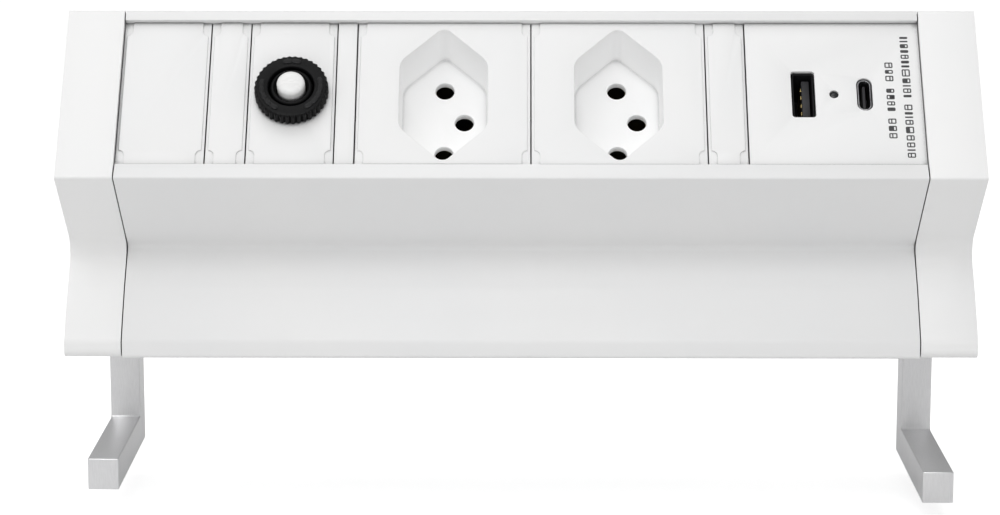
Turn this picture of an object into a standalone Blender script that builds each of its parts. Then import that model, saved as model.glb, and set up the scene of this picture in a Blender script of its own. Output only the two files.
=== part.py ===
"""Clamp-on desk power strip, built as separate named pieces.

Frame: X runs along the strip, -Y faces the user, +Z is up.
Origin: desk top plane (Z = 0) above the rear edge of the desk (Y = 0),
half way along the strip. All lengths below are millimetres; the helpers
turn them into metres. The pieces are drawn with the desk top at Z = DESK and
the last step lifts them all so that it lies at Z = 0.

"Rise" is a distance up the sloping panel from its front lower corner.
"""

import bpy
import bmesh
from math import atan2, cos, pi, radians, sin, tan
from mathutils import Matrix, Vector

MM = 0.001

# ------------------------------------------------------------ shared dimensions
GAP = 0.3                 # clearance between neighbouring pieces
BODY_HALF = 99.5          # half length of the extruded housing
DESK = -1.4               # level of the desk top while drawing
UNDERSIDE = -0.9          # underside of the housing

# housing section, corners as (Y, Z)
NOSE = (-77.9, 46.1)      # front lower corner of the panel
WAIST = (-52.4, 24.6)     # inner corner below the nose
SKIRT_A = (-60.5, 15.4)
SKIRT_B = (-66.0, 7.9)
SKIRT_C = (-68.9, 3.5)
SKIRT_FOOT = (-69.2, UNDERSIDE)
BACK_Y = 13.0             # vertical back wall
PANEL_TILT = 49.56        # slope of the panel above the horizontal, degrees
PANEL_WIDTH = 49.8        # along the slope

# module opening in the panel
LIP_LOW = 4.2             # rise of its lower edge
LIP_HIGH = 46.8           # rise of its upper edge
MID_RISE = (LIP_LOW + LIP_HIGH) / 2
RECESS = 1.5              # modules sit this far below the panel surface
PLATE = 2.5               # module plate thickness
PLATE_TOP = -RECESS
PLATE_LOW = -RECESS - PLATE
PLATE_RISE = (LIP_LOW + GAP, LIP_HIGH - GAP)

# module widths along X, from the left end of the housing
MODULE = 43.5
WIDTHS = {
    "blank": MODULE / 2,
    "narrow_left": 10.0,
    "breaker": MODULE / 2,
    "spacer": 5.0,
    "outlet_1": MODULE,
    "outlet_2": MODULE,
    "narrow_right": 10.0,
    "usb": MODULE,
}
SPANS = {}
edge = -BODY_HALF
for module, width in WIDTHS.items():
    SPANS[module] = (edge, edge + width)
    edge += width

# housings behind the outlets and the charger
HOUSING_HALF_X = 20.4
HOUSING_HALF_RISE = 18.0

# screw channels shared by the housing and the end caps: tag, (Y, Z)
BOSSES = (("low", (-57.0, 4.0)), ("high", (-9.0, 47.5)))
BOSS_BORE_R = 1.75

# clamp positions shared by the end caps and the brackets
BRACKET_X = 108.25
BAR_X = 8.0               # bracket width along X
LEG_Y = (0.0, 10.0)
LEG_MID_Y = (LEG_Y[0] + LEG_Y[1]) / 2

# supply inlet in the back wall
INLET_X, INLET_Z = -70.0, 17.0
INLET_HALF_X, INLET_HALF_Z = 12.0, 9.0
INLET_PITCH = 6.0
INLET_WIRE_Y = -15.6      # where the conductors start

# ------------------------------------------------------------ clean scene
for old in list(bpy.data.objects):
    bpy.data.objects.remove(old, do_unlink=True)

PARTS = bpy.data.collections.new("desk_power_strip")
CUTTERS = bpy.data.collections.new("cutters")
bpy.context.scene.collection.children.link(PARTS)
bpy.context.scene.collection.children.link(CUTTERS)


# ------------------------------------------------------------ materials
def material(name, colour, roughness, metallic=0.0):
    made = bpy.data.materials.new(name)
    made.use_nodes = True
    shader = made.node_tree.nodes["Principled BSDF"]
    shader.inputs["Base Color"].default_value = (*colour, 1.0)
    shader.inputs["Roughness"].default_value = roughness
    shader.inputs["Metallic"].default_value = metallic
    made.diffuse_color = (*colour, 1.0)
    return made


WHITE_COAT = material("white_powder_coat", colour=(0.86, 0.86, 0.85), roughness=0.45)
WHITE_PLASTIC = material("white_plastic", colour=(0.88, 0.88, 0.87), roughness=0.35)
BLACK_PLASTIC = material("black_plastic", colour=(0.02, 0.02, 0.022), roughness=0.4)
SATIN_ALU = material(
    "satin_aluminium", colour=(0.72, 0.72, 0.73), roughness=0.32, metallic=1.0
)
STEEL = material("zinc_steel", colour=(0.6, 0.6, 0.62), roughness=0.3, metallic=1.0)
BRASS = material("brass", colour=(0.72, 0.52, 0.2), roughness=0.3, metallic=1.0)
BOARD = material("circuit_board", colour=(0.03, 0.2, 0.08), roughness=0.5)
RUBBER = material("rubber", colour=(0.06, 0.06, 0.06), roughness=0.8)
LENS = material("indicator_lens", colour=(0.03, 0.05, 0.12), roughness=0.15)
WIRE_BROWN = material("line_insulation", colour=(0.22, 0.09, 0.03), roughness=0.5)
WIRE_BLUE = material("neutral_insulation", colour=(0.05, 0.15, 0.5), roughness=0.5)
WIRE_GREEN = material("earth_insulation", colour=(0.25, 0.5, 0.08), roughness=0.5)
COPPER = material(
    "copper_winding", colour=(0.72, 0.35, 0.15), roughness=0.35, metallic=1.0
)


# ------------------------------------------------------------ frames
def shift(x, y, z):
    """Translation by millimetres."""
    return Matrix.Translation(Vector((x * MM, y * MM, z * MM)))


WORLD = Matrix()
SLOPE = radians(PANEL_TILT)
# local x = X, local y = up the slope, local z = out of the panel
PANEL = shift(0, *NOSE) @ Matrix.Rotation(SLOPE, 4, "X")
# local x = Y, local y = Z, local z = X
SECTION = Matrix(((0, 0, 1, 0), (1, 0, 0, 0), (0, 1, 0, 0), (0, 0, 0, 1)))


def slope_point(rise, out):
    """(Y, Z) of a point at a rise up the slope and a distance out of the panel."""
    return (
        NOSE[0] + rise * cos(SLOPE) - out * sin(SLOPE),
        NOSE[1] + rise * sin(SLOPE) + out * cos(SLOPE),
    )


# ------------------------------------------------------------ spans and outlines
def around(middle, half):
    """(low, high) pair centred on middle."""
    return (middle - half, middle + half)


def outward(side, near, far):
    """X span between two distances from the middle, on the side -1 or 1."""
    return (near, far) if side > 0 else (-far, -near)


def rectangle(x_span, y_span):
    (x0, x1), (y0, y1) = x_span, y_span
    return [(x0, y0), (x1, y0), (x1, y1), (x0, y1)]


def circle(x, y, radius, count):
    return [
        (x + radius * cos(2 * pi * k / count), y + radius * sin(2 * pi * k / count))
        for k in range(count)
    ]


def rounded(points, radii, steps=5):
    """A closed outline with each corner replaced by an arc of its radius."""
    out = []
    count = len(points)
    for i, point in enumerate(points):
        radius = radii[i] if isinstance(radii, (list, tuple)) else radii
        before, after = Vector(points[i - 1]), Vector(points[(i + 1) % count])
        corner = Vector(point)
        to_before = (before - corner).normalized()
        to_after = (after - corner).normalized()
        half = to_before.angle(to_after) / 2
        # square corners and points on a straight run stay as they are
        if radius <= 0 or half > radians(89.5):
            out.append(tuple(corner))
            continue
        reach = radius / tan(half)
        centre = corner + (to_before + to_after).normalized() * (radius / sin(half))
        start = corner + to_before * reach - centre
        end = corner + to_after * reach - centre
        turn = atan2(start.x * end.y - start.y * end.x, start.dot(end))
        first = atan2(start.y, start.x)
        for k in range(steps + 1):
            angle = first + turn * k / steps
            out.append((centre.x + radius * cos(angle), centre.y + radius * sin(angle)))
    return out


def inset(points, distance):
    """Corners of the outline moved inwards (points run anticlockwise)."""
    out = []
    count = len(points)
    for i, point in enumerate(points):
        corner = Vector(point)
        before, after = Vector(points[i - 1]), Vector(points[(i + 1) % count])
        arrive, leave = (corner - before).normalized(), (after - corner).normalized()
        normal = Vector((-arrive.y, arrive.x))
        next_normal = Vector((-leave.y, leave.x))
        bisector = (normal + next_normal).normalized()
        out.append(tuple(corner + bisector * (distance / bisector.dot(normal))))
    return out


def bend(points, radius, steps=3):
    """A path with its inner corners rounded by quadratic curves."""
    out = [points[0]]
    for before, point, after in zip(points, points[1:], points[2:]):
        before, corner, after = Vector(before), Vector(point), Vector(after)
        back, ahead = before - corner, after - corner
        reach = min(radius, back.length / 2.2, ahead.length / 2.2)
        start = corner + back.normalized() * reach
        end = corner + ahead.normalized() * reach
        for k in range(steps + 1):
            t = k / steps
            out.append(
                tuple(start * (1 - t) ** 2 + corner * 2 * t * (1 - t) + end * t * t)
            )
    out.append(points[-1])
    return out


# ------------------------------------------------------------ makers
# A piece made without a look is a hidden helper for a boolean.
def take(name, mesh, frame, look):
    made = bpy.data.objects.new(name, mesh)
    made.matrix_world = frame
    if look:
        PARTS.objects.link(made)
        mesh.materials.clear()
        mesh.materials.append(look)
    else:
        CUTTERS.objects.link(made)
        made.hide_render = True
        made.display_type = "WIRE"
    return made


def smooth(made, angle=30):
    made.data.shade_smooth()
    made.data.set_sharp_from_angle(angle=radians(angle))


def plate(name, outlines, span, frame=WORLD, look=None):
    """A flat outline, with holes, extruded over a span of local z."""
    low, high = span
    curve = bpy.data.curves.new(name, "CURVE")
    curve.dimensions = "2D"
    curve.fill_mode = "BOTH"
    curve.extrude = (high - low) / 2 * MM
    for outline in outlines:
        spline = curve.splines.new("POLY")
        spline.points.add(len(outline) - 1)
        for point, (x, y) in zip(spline.points, outline):
            point.co = (x * MM, y * MM, 0, 1)
        spline.use_cyclic_u = True
    guide = bpy.data.objects.new(name + "_outline", curve)
    PARTS.objects.link(guide)
    bpy.context.view_layer.update()
    solid = guide.evaluated_get(bpy.context.evaluated_depsgraph_get())
    mesh = bpy.data.meshes.new_from_object(solid)
    mesh.name = name
    bpy.data.objects.remove(guide, do_unlink=True)
    bm = bmesh.new()
    bm.from_mesh(mesh)
    bmesh.ops.remove_doubles(bm, verts=bm.verts, dist=1e-6)
    bmesh.ops.translate(bm, verts=bm.verts, vec=(0, 0, (low + high) / 2 * MM))
    bmesh.ops.recalc_face_normals(bm, faces=bm.faces)
    bm.to_mesh(mesh)
    bm.free()
    return take(name, mesh, frame, look)


def box(name, x, y, z, frame=WORLD, look=None):
    """A block between the given (low, high) pairs in the local frame."""
    spans = (x, y, z)
    bm = bmesh.new()
    bmesh.ops.create_cube(bm, size=1.0)
    bmesh.ops.scale(bm, verts=bm.verts, vec=[(high - low) * MM for low, high in spans])
    bmesh.ops.translate(
        bm, verts=bm.verts, vec=[(low + high) / 2 * MM for low, high in spans]
    )
    mesh = bpy.data.meshes.new(name)
    bm.to_mesh(mesh)
    bm.free()
    return take(name, mesh, frame, look)


def rod(name, centre, span, radius, count, frame=WORLD, look=None, high_radius=None):
    """A cylinder about local z, or a cone when high_radius is given."""
    bm = bmesh.new()
    bmesh.ops.create_cone(
        bm,
        cap_ends=True,
        segments=count,
        radius1=radius * MM,
        radius2=(radius if high_radius is None else high_radius) * MM,
        depth=(span[1] - span[0]) * MM,
    )
    x, y = centre
    bmesh.ops.translate(
        bm, verts=bm.verts, vec=(x * MM, y * MM, (span[0] + span[1]) / 2 * MM)
    )
    mesh = bpy.data.meshes.new(name)
    bm.to_mesh(mesh)
    bm.free()
    made = take(name, mesh, frame, look)
    if look:
        smooth(made)
    return made


def turned(name, profile, steps, frame, look):
    """A profile of (radius, z), starting and ending on local z, spun about it."""
    mesh = bpy.data.meshes.new(name)
    bm = bmesh.new()
    verts = [bm.verts.new((radius * MM, 0, z * MM)) for radius, z in profile]
    for start, end in zip(verts, verts[1:]):
        bm.edges.new((start, end))
    bm.to_mesh(mesh)
    bm.free()
    made = take(name, mesh, frame, look)
    spin = made.modifiers.new("spin", "SCREW")
    spin.steps = spin.render_steps = steps
    spin.use_merge_vertices = True
    spin.merge_threshold = 0.00001
    return made


def tube(name, path, radius, look, resolution=2):
    """A round wire along a path of world points."""
    curve = bpy.data.curves.new(name, "CURVE")
    curve.dimensions = "3D"
    curve.bevel_depth = radius * MM
    curve.bevel_resolution = resolution
    curve.use_fill_caps = True
    spline = curve.splines.new("POLY")
    spline.points.add(len(path) - 1)
    for point, (x, y, z) in zip(spline.points, path):
        point.co = (x * MM, y * MM, z * MM, 1)
    made = bpy.data.objects.new(name, curve)
    curve.materials.append(look)
    PARTS.objects.link(made)


def boolean(target, other, operation):
    mod = target.modifiers.new(other.name, "BOOLEAN")
    mod.object = other
    mod.operation = operation
    mod.solver = "EXACT"


def cut(target, other):
    boolean(target, other, "DIFFERENCE")


def join(target, other):
    boolean(target, other, "UNION")


# ------------------------------------------------------------ housing
WALL = 2.0
LEDGE = 0.7               # ledge under the edge of a module plate
LEDGE_TOP = PLATE_LOW - GAP
LEDGE_LOW = -5.5
CHANNEL_R = 3.3           # outside of a screw channel

PAD_HALF_X = 95.0
PAD_THICK = 0.8
PADS = (("front", (-66, -56)), ("rear", (-6, 4)))   # tag, Y span

TOP = slope_point(PANEL_WIDTH, 0)
BACK_TOP = (BACK_Y, TOP[1] - (BACK_Y - TOP[0]) / tan(SLOPE))
# anticlockwise in (Y, Z)
CORNERS = [
    NOSE,
    WAIST,
    SKIRT_A,
    SKIRT_B,
    SKIRT_C,
    SKIRT_FOOT,
    (BACK_Y, UNDERSIDE),
    BACK_TOP,
    TOP,
]
# corner radii in the order of CORNERS
BODY_RADII = [0.5, 1.6, 14.0, 12.0, 3.0, 1.0, 1.0, 3.0, 0.9]
CAP_RADII = [0.6, 5.0, 16.0, 12.0, 3.0, 2.4, 1.6, 3.0, 0.9]


def body_outline():
    """Outer skin, then the inside from the upper lip round to the lower lip."""
    inner = inset(CORNERS, WALL)
    inside = [
        slope_point(LIP_HIGH, 0),
        slope_point(LIP_HIGH, LEDGE_TOP),
        slope_point(LIP_HIGH - LEDGE, LEDGE_TOP),
        slope_point(LIP_HIGH - LEDGE, LEDGE_LOW),
        slope_point(PANEL_WIDTH - WALL, LEDGE_LOW),
        *inner[7:0:-1],   # back top round to the waist
        slope_point(WALL, LEDGE_LOW),
        slope_point(LIP_LOW + LEDGE, LEDGE_LOW),
        slope_point(LIP_LOW + LEDGE, LEDGE_TOP),
        slope_point(LIP_LOW, LEDGE_TOP),
        slope_point(LIP_LOW, 0),
    ]
    inside_radii = [0] * 5 + [1.5, 0.5, 0.5, 0, 8.0, 10.0, 1.5] + [0] * 5
    return rounded(CORNERS, BODY_RADII, steps=4) + rounded(inside, inside_radii, steps=3)


def build_body():
    body = plate(
        "body_extrusion", [body_outline()], around(0, BODY_HALF), SECTION, WHITE_COAT
    )
    for tag, centre in BOSSES:
        channel = "screw_channel_" + tag
        join(body, rod(channel, centre, around(0, BODY_HALF), CHANNEL_R, 16, SECTION))
        bore = "screw_channel_bore_" + tag
        cut(body, rod(bore, centre, (-120, 120), BOSS_BORE_R, 12, SECTION))
    for tag, (front, rear) in PADS:
        groove_y = (front - GAP, rear + GAP)
        groove_z = (DESK - 2, DESK + PAD_THICK + GAP)
        cut(body, box("pad_groove_" + tag, around(0, PAD_HALF_X + GAP), groove_y, groove_z))
    window_x = around(INLET_X, INLET_HALF_X + GAP)
    window_z = around(INLET_Z, INLET_HALF_Z + GAP)
    cut(body, box("inlet_window", window_x, (8, 16), window_z))
    smooth(body, 25)


def build_desk_pads():
    for tag, span in PADS:
        thickness = (DESK, DESK + PAD_THICK)
        box(f"{tag}_desk_pad", around(0, PAD_HALF_X), span, thickness, look=RUBBER)


# ------------------------------------------------------------ end caps
CAP_START = 99.8          # inner face of an end cap
CAP_END = 114.0           # outer face of an end cap
CAP_WALL = 2.2
CAP_FACE = 2.5            # thickness of the outer face
CAVITY_REAR_Y = -3.2      # the cavity stops here, in front of the clamp channel
CAP_BOSS_R = 3.6
SINK_RADII = (1.5, 4.0)   # countersink, inner and outer ends
CHANNEL_TOP = 28.0        # top of the channel for the bracket leg
SEAT_Z = 31.0             # floor of the counterbore for the clamp screw

# countersunk screw, (radius, z) with z out of the cap
CAP_SCREW = [
    (0, 0), (2.9, 0), (2.9, -0.25), (1.4, -1.55), (1.4, -20.5), (0.7, -21.5), (0, -21.5),
]
SLOT_DEPTH = (-0.9, 0.5)


def cavity_outline():
    """Inside of a cap, closed at the rear by a wall at CAVITY_REAR_Y."""
    inner = inset(CORNERS, CAP_WALL)
    top, back_top = Vector(inner[8]), Vector(inner[7])
    share = (CAVITY_REAR_Y - top.x) / (back_top.x - top.x)
    corners = [
        *inner[:6],
        (CAVITY_REAR_Y, inner[5][1]),
        (CAVITY_REAR_Y, top.y + (back_top.y - top.y) * share),
        inner[8],
    ]
    return rounded(corners, [0.5, 5.0, 10.0, 8.0, 0, 1.0, 1.0, 1.0, 0.8], steps=3)


def cap_screw(name, side, centre):
    """Cross-slotted screw that holds a cap to the housing."""
    turn = Matrix.Rotation(radians(90) * side, 4, "Y")
    head = shift(side * (CAP_END - 0.2), *centre) @ turn
    screw = turned(name, CAP_SCREW, 14, head, STEEL)
    long, short = around(0, 1.9), around(0, 0.35)
    cut(screw, box(name + "_slot", long, short, SLOT_DEPTH, head))
    cut(screw, box(name + "_slot_b", short, long, SLOT_DEPTH, head))


def build_end_cap(name, side):
    outline = rounded(CORNERS, CAP_RADII, steps=5)
    body_span = outward(side, CAP_START, CAP_END)
    cap = plate(name, [outline], body_span, SECTION, WHITE_PLASTIC)
    hollow = outward(side, CAP_START - 2, CAP_END - CAP_FACE)
    cut(cap, plate(name + "_hollow", [cavity_outline()], hollow, SECTION))

    column = outward(side, CAP_START, CAP_END - 1.0)
    through = outward(side, 90, 120)
    sink = outward(side, CAP_END - 2.0, CAP_END + 0.5)
    low_r, high_r = SINK_RADII[::side]
    for tag, centre in BOSSES:
        join(cap, rod(f"{name}_boss_{tag}", centre, column, CAP_BOSS_R, 16, SECTION))
        cut(cap, rod(f"{name}_bore_{tag}", centre, through, BOSS_BORE_R, 16, SECTION))
        cut(
            cap,
            rod(f"{name}_sink_{tag}", centre, sink, low_r, 20, SECTION, high_radius=high_r),
        )

    x = side * BRACKET_X
    channel_x = (x - BAR_X / 2 - GAP, x + BAR_X / 2 + GAP)
    channel_y = (LEG_Y[0] - GAP, LEG_Y[1] + GAP)
    cut(cap, box(name + "_channel", channel_x, channel_y, (-5, CHANNEL_TOP)))
    cut(cap, rod(name + "_screw_bore", (x, LEG_MID_Y), (CHANNEL_TOP - 1, 50), 2.9, 20))
    cut(cap, rod(name + "_screw_seat", (x, LEG_MID_Y), (SEAT_Z, 60), 4.65, 24))
    smooth(cap, 25)

    for number, (_, centre) in enumerate(BOSSES, 1):
        cap_screw(f"{name}_screw_{number}", side, centre)


# ------------------------------------------------------------ clamp brackets
FOOT_TIP_Y = -46.0
FOOT_THICK = 8.25
FOOT_TOP_LEFT = -32.7
FOOT_TOP_RIGHT = -35.9
LEG_ABOVE_FOOT = 46.8     # from the foot's upper face to the top of the leg
THREAD_R = 2.85
SHANK_R = 2.5

# turning screw that raises and lowers the bracket, (radius, Z)
CLAMP_SCREW = [
    (0, 35.3),
    (3.9, 35.3),
    (4.3, 34.9),
    (4.3, 31.3),
    (SHANK_R, 31.3),
    (SHANK_R, -3.2),
    (1.9, -4.0),
    (0, -4.0),
]


def build_bracket(hand, side, foot_top):
    """L-shaped bracket, its turning screw and the washer that retains the screw."""
    name = hand + "_bracket"
    x = side * BRACKET_X
    base = foot_top - FOOT_THICK
    leg_top = foot_top + LEG_ABOVE_FOOT
    outline = [
        (FOOT_TIP_Y, base),
        (LEG_Y[1], base),
        (LEG_Y[1], leg_top),
        (LEG_Y[0], leg_top),
        (LEG_Y[0], foot_top),
        (FOOT_TIP_Y, foot_top),
    ]
    made = plate(
        name,
        [rounded(outline, [0.4, 0.8, 0.4, 0.4, 0.8, 0.4], steps=2)],
        around(x, BAR_X / 2),
        SECTION,
        SATIN_ALU,
    )
    thread = (leg_top - 33, leg_top + 5)
    cut(made, rod(name + "_thread", (x, LEG_MID_Y), thread, THREAD_R, 20))

    screw_axis = shift(x, LEG_MID_Y, 0)
    screw = turned(hand + "_clamp_screw", CLAMP_SCREW, 20, screw_axis, STEEL)
    cut(screw, rod(name + "_hex_socket", (0, 0), (32.6, 37), 2.3, 6, screw_axis))
    smooth(screw)

    # just under the top of the cap's channel
    washer = plate(
        hand + "_screw_retainer",
        [circle(x, LEG_MID_Y, 3.9, 20), circle(x, LEG_MID_Y, 2.8, 16)],
        (27.0, 27.7),
        look=STEEL,
    )
    smooth(washer)


# ------------------------------------------------------------ module plates
STEP_DOWN = 0.4           # the border of a module lies this far below its face
BORDER = 0.7
POCKET_X, POCKET_RISE = 2.1, 4.0


def face_outline(x0, x1):
    """Outline of a module's raised face: a narrow border and four corner pockets."""
    radius = POCKET_X - BORDER
    mid_x = (x0 + x1) / 2
    low = PLATE_RISE[0]
    corner = [(x1 - POCKET_X, low)]
    for k in range(5):
        angle = pi - pi / 2 * k / 4
        corner.append(
            (
                x1 - BORDER + radius * cos(angle),
                low + POCKET_RISE - radius + radius * sin(angle),
            )
        )
    right = corner + [(x, 2 * MID_RISE - rise) for x, rise in reversed(corner)]
    return right + [(2 * mid_x - x, rise) for x, rise in reversed(right)]


def module_plate(name, module, framed=True):
    """Plate filling a module's span; a framed one has a raised face."""
    x0, x1 = SPANS[module][0] + GAP / 2, SPANS[module][1] - GAP / 2
    outline = rectangle((x0, x1), PLATE_RISE)
    top = PLATE_TOP - STEP_DOWN if framed else PLATE_TOP
    made = plate(name, [outline], (PLATE_LOW, top), PANEL, WHITE_PLASTIC)
    if framed:
        face_span = (PLATE_LOW + 0.4, PLATE_TOP)
        join(made, plate(name + "_face", [face_outline(x0, x1)], face_span, PANEL))
    return made


def build_covers():
    module_plate("blank_cover", "blank")
    module_plate("narrow_cover_left", "narrow_left")
    module_plate("narrow_cover_right", "narrow_right")
    module_plate("spacer_cover", "spacer", framed=False)


# ------------------------------------------------------------ outlets
HEX_HALF_X = 11.0
HEX_HALF_RISE = 20.0
HEX_SIDE = 9.6            # half length of the straight sides
HEX_DEPTH = 13.5
HEX_WALL = 0.8            # side wall of the cup round the recess
CUP_FLOOR = 2.0
PIN_PITCH = 9.5           # line and neutral holes from the middle
EARTH_SHIFT = 5.0
PIN_HOLE_R = 2.45
OUTLET_FLOOR = PLATE_TOP - HEX_DEPTH
OUTLET_REAR = OUTLET_FLOOR - CUP_FLOOR - GAP   # upper face of the rear housing


def hexagon(x, grow=0.0):
    """Outline of an outlet recess about (x, MID_RISE)."""
    half_x, half_rise = HEX_HALF_X + grow, HEX_HALF_RISE + grow
    points = [
        (x, MID_RISE - half_rise),
        (x + half_x, MID_RISE - HEX_SIDE),
        (x + half_x, MID_RISE + HEX_SIDE),
        (x, MID_RISE + half_rise),
        (x - half_x, MID_RISE + HEX_SIDE),
        (x - half_x, MID_RISE - HEX_SIDE),
    ]
    return rounded(points, [2.2, 5.0, 5.0, 2.2, 5.0, 5.0], steps=4)


def outlet_contact(name, housing, x, rise):
    """One brass contact in its chamber, with a wire entry behind it."""
    rear = OUTLET_REAR
    chamber_z = (rear - 16, rear + 3)
    cut(
        housing,
        box(name + "_chamber", around(x, 3.2), around(rise, 4.0), chamber_z, PANEL),
    )
    clip = box(
        name + "_contact",
        around(x, 2.9),
        around(rise, 3.5),
        (rear - 15.5, rear - 1.0),
        PANEL,
        BRASS,
    )
    slot_z = (rear - 14.7, rear + 3)
    cut(clip, box(name + "_contact_slot", around(x, 2.3), around(rise, 5), slot_z, PANEL))
    cut(housing, rod(name + "_entry", (x, rise), (rear - 22, rear - 14), 1.6, 10, PANEL))


def build_outlet(name):
    x = (SPANS[name][0] + SPANS[name][1]) / 2
    face = module_plate(name + "_face", name)
    cup_span = (OUTLET_FLOOR - CUP_FLOOR, PLATE_LOW + 0.5)
    join(face, plate(name + "_cup", [hexagon(x, HEX_WALL)], cup_span, PANEL))
    cut(face, plate(name + "_recess", [hexagon(x)], (OUTLET_FLOOR, 5.0), PANEL))
    housing = box(
        name + "_housing",
        around(x, HOUSING_HALF_X),
        around(MID_RISE, HOUSING_HALF_RISE),
        (OUTLET_REAR - 18, OUTLET_REAR),
        PANEL,
        WHITE_PLASTIC,
    )
    hole_span = (OUTLET_FLOOR - 5, OUTLET_FLOOR + 2)
    for tag, pin_x, rise in (
        ("line", x, MID_RISE + PIN_PITCH),
        ("neutral", x, MID_RISE - PIN_PITCH),
        ("earth", x + EARTH_SHIFT, MID_RISE),
    ):
        pin = f"{name}_{tag}"
        cut(face, rod(pin + "_hole", (pin_x, rise), hole_span, PIN_HOLE_R, 20, PANEL))
        outlet_contact(pin, housing, pin_x, rise)


# ------------------------------------------------------------ breaker
BREAKER_X = -56.9
AT_BREAKER = PANEL @ shift(BREAKER_X, MID_RISE, 0)
TERMINAL_OFFSET = 8.0     # terminals from the middle, along the slope
RING_R = 9.0
RING_LOBES = 36
LOBE_WAVE = 0.22          # half the depth of the ring's ripples
BUTTON_R = 3.5
BUTTON_TOP = 3.1
COIL_R = 1.9
COIL_LOW, COIL_HEIGHT = -13.3, 12.0
COIL_TURNS, COIL_STEPS = 6, 10

# (radius, z), open underneath
BUTTON = [
    (0, BUTTON_TOP),
    (2.4, BUTTON_TOP - 0.1),
    (3.1, BUTTON_TOP - 0.35),
    (BUTTON_R, BUTTON_TOP - 0.9),
    (BUTTON_R, -6.0),
    (2.7, -6.0),
    (2.7, 0.9),
    (0, 0.9),
]


def breaker_point(x, y, z):
    """World point, in millimetres, of a place in the breaker's frame."""
    return tuple((AT_BREAKER @ Vector((x * MM, y * MM, z * MM))) / MM)


def build_breaker_body():
    fascia = module_plate("breaker_fascia", "breaker")
    cut(fascia, rod("breaker_hole", (BREAKER_X, MID_RISE), (-10, 5), 5.8, 28, PANEL))
    breaker = box(
        "breaker_body", (-9, 9), (-13, 13), (-31, -4.4), AT_BREAKER, BLACK_PLASTIC
    )
    join(breaker, rod("breaker_neck", (0, 0), (-6, 0.9), 5.45, 28, AT_BREAKER))
    cut(breaker, rod("breaker_bore", (0, 0), (-14.0, 5), 3.85, 24, AT_BREAKER))
    for tag, y in (("a", -TERMINAL_OFFSET), ("b", TERMINAL_OFFSET)):
        slot = "breaker_slot_" + tag
        cut(breaker, box(slot, (-3.5, 3.5), around(y, 0.8), (-40, -22), AT_BREAKER))
        box(
            "breaker_terminal_" + tag,
            (-3.15, 3.15),
            around(y, 0.4),
            (-38, -22.4),
            AT_BREAKER,
            BRASS,
        )


def build_ring_nut():
    """Nut round the breaker's neck with a rippled rim."""
    lobes = []
    count = RING_LOBES * 4
    for k in range(count):
        angle = 2 * pi * k / count
        radius = RING_R - LOBE_WAVE + LOBE_WAVE * cos(RING_LOBES * angle)
        lobes.append((radius * cos(angle), radius * sin(angle)))
    ring = plate("breaker_ring_nut", [lobes], (-1.1, 1.5), AT_BREAKER, BLACK_PLASTIC)
    cut(ring, rod("ring_bore", (0, 0), (-5, 5), 5.75, 28, AT_BREAKER))
    smooth(ring, 40)


def build_reset_button():
    smooth(turned("reset_button", BUTTON, 24, AT_BREAKER, WHITE_PLASTIC))
    coil = []
    count = COIL_TURNS * COIL_STEPS
    for k in range(count + 1):
        angle = 2 * pi * k / COIL_STEPS
        z = COIL_LOW + COIL_HEIGHT * k / count
        coil.append(breaker_point(COIL_R * cos(angle), COIL_R * sin(angle), z))
    tube("breaker_spring", coil, 0.35, STEEL, resolution=1)


# ------------------------------------------------------------ charger
LED_X = 77.7
PORT_OFFSET = 7.6         # each port from the indicator
USB_A_X = LED_X - PORT_OFFSET
USB_C_X = LED_X + PORT_OFFSET
USB_A_HALF = (2.65, 6.45)     # outside of the shell, along X and the slope
USB_C_HALF = (1.65, 4.45)
USB_A_WALL = 0.35
USB_C_WALL = 0.3
USB_C_ROUND = 1.6
SHELL_TOP = -1.9
PARTS_SPAN = (-29.0, -17.3)   # components under the circuit board
CASE_WALL = 1.5


def port_outline(x, half, grow):
    """Rectangle of a port's shell, grown on every side."""
    half_x, half_rise = half
    return rectangle(around(x, half_x + grow), around(MID_RISE, half_rise + grow))


def usb_c_outline(grow, steps):
    return rounded(port_outline(USB_C_X, USB_C_HALF, grow), USB_C_ROUND + grow, steps)


def build_usb_front():
    """Fascia with its windows and the indicator lens."""
    fascia = module_plate("usb_fascia", "usb", framed=False)
    window_a = rounded(port_outline(USB_A_X, USB_A_HALF, GAP), 0.6, 3)
    window_c = usb_c_outline(GAP, 5)
    cut(fascia, plate("usb_a_window", [window_a], (-10, 5), PANEL))
    cut(fascia, plate("usb_c_window", [window_c], (-10, 5), PANEL))
    led = (LED_X, MID_RISE)
    cut(fascia, rod("usb_led_hole", led, (-10, 5), 1.15, 16, PANEL))
    rod("usb_indicator_lens", led, (-6.0, -1.75), 0.85, 16, PANEL, LENS)


def build_usb_ports():
    shell_a = [port_outline(USB_A_X, USB_A_HALF, grow) for grow in (0, -USB_A_WALL)]
    plate("usb_a_shell", shell_a, (-15.0, SHELL_TOP), PANEL, STEEL)
    box(
        "usb_a_tongue",
        (USB_A_X - 0.15, USB_A_X + 1.75),
        around(MID_RISE, 5.4),
        (-14.9, -4.0),
        PANEL,
        BLACK_PLASTIC,
    )
    shell_c = [usb_c_outline(grow, 4) for grow in (0, -USB_C_WALL)]
    plate("usb_c_shell", shell_c, (-11.0, SHELL_TOP), PANEL, STEEL)
    box(
        "usb_c_tongue",
        around(USB_C_X, 0.35),
        around(MID_RISE, 3.3),
        (-10.9, -3.4),
        PANEL,
        BLACK_PLASTIC,
    )


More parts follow.
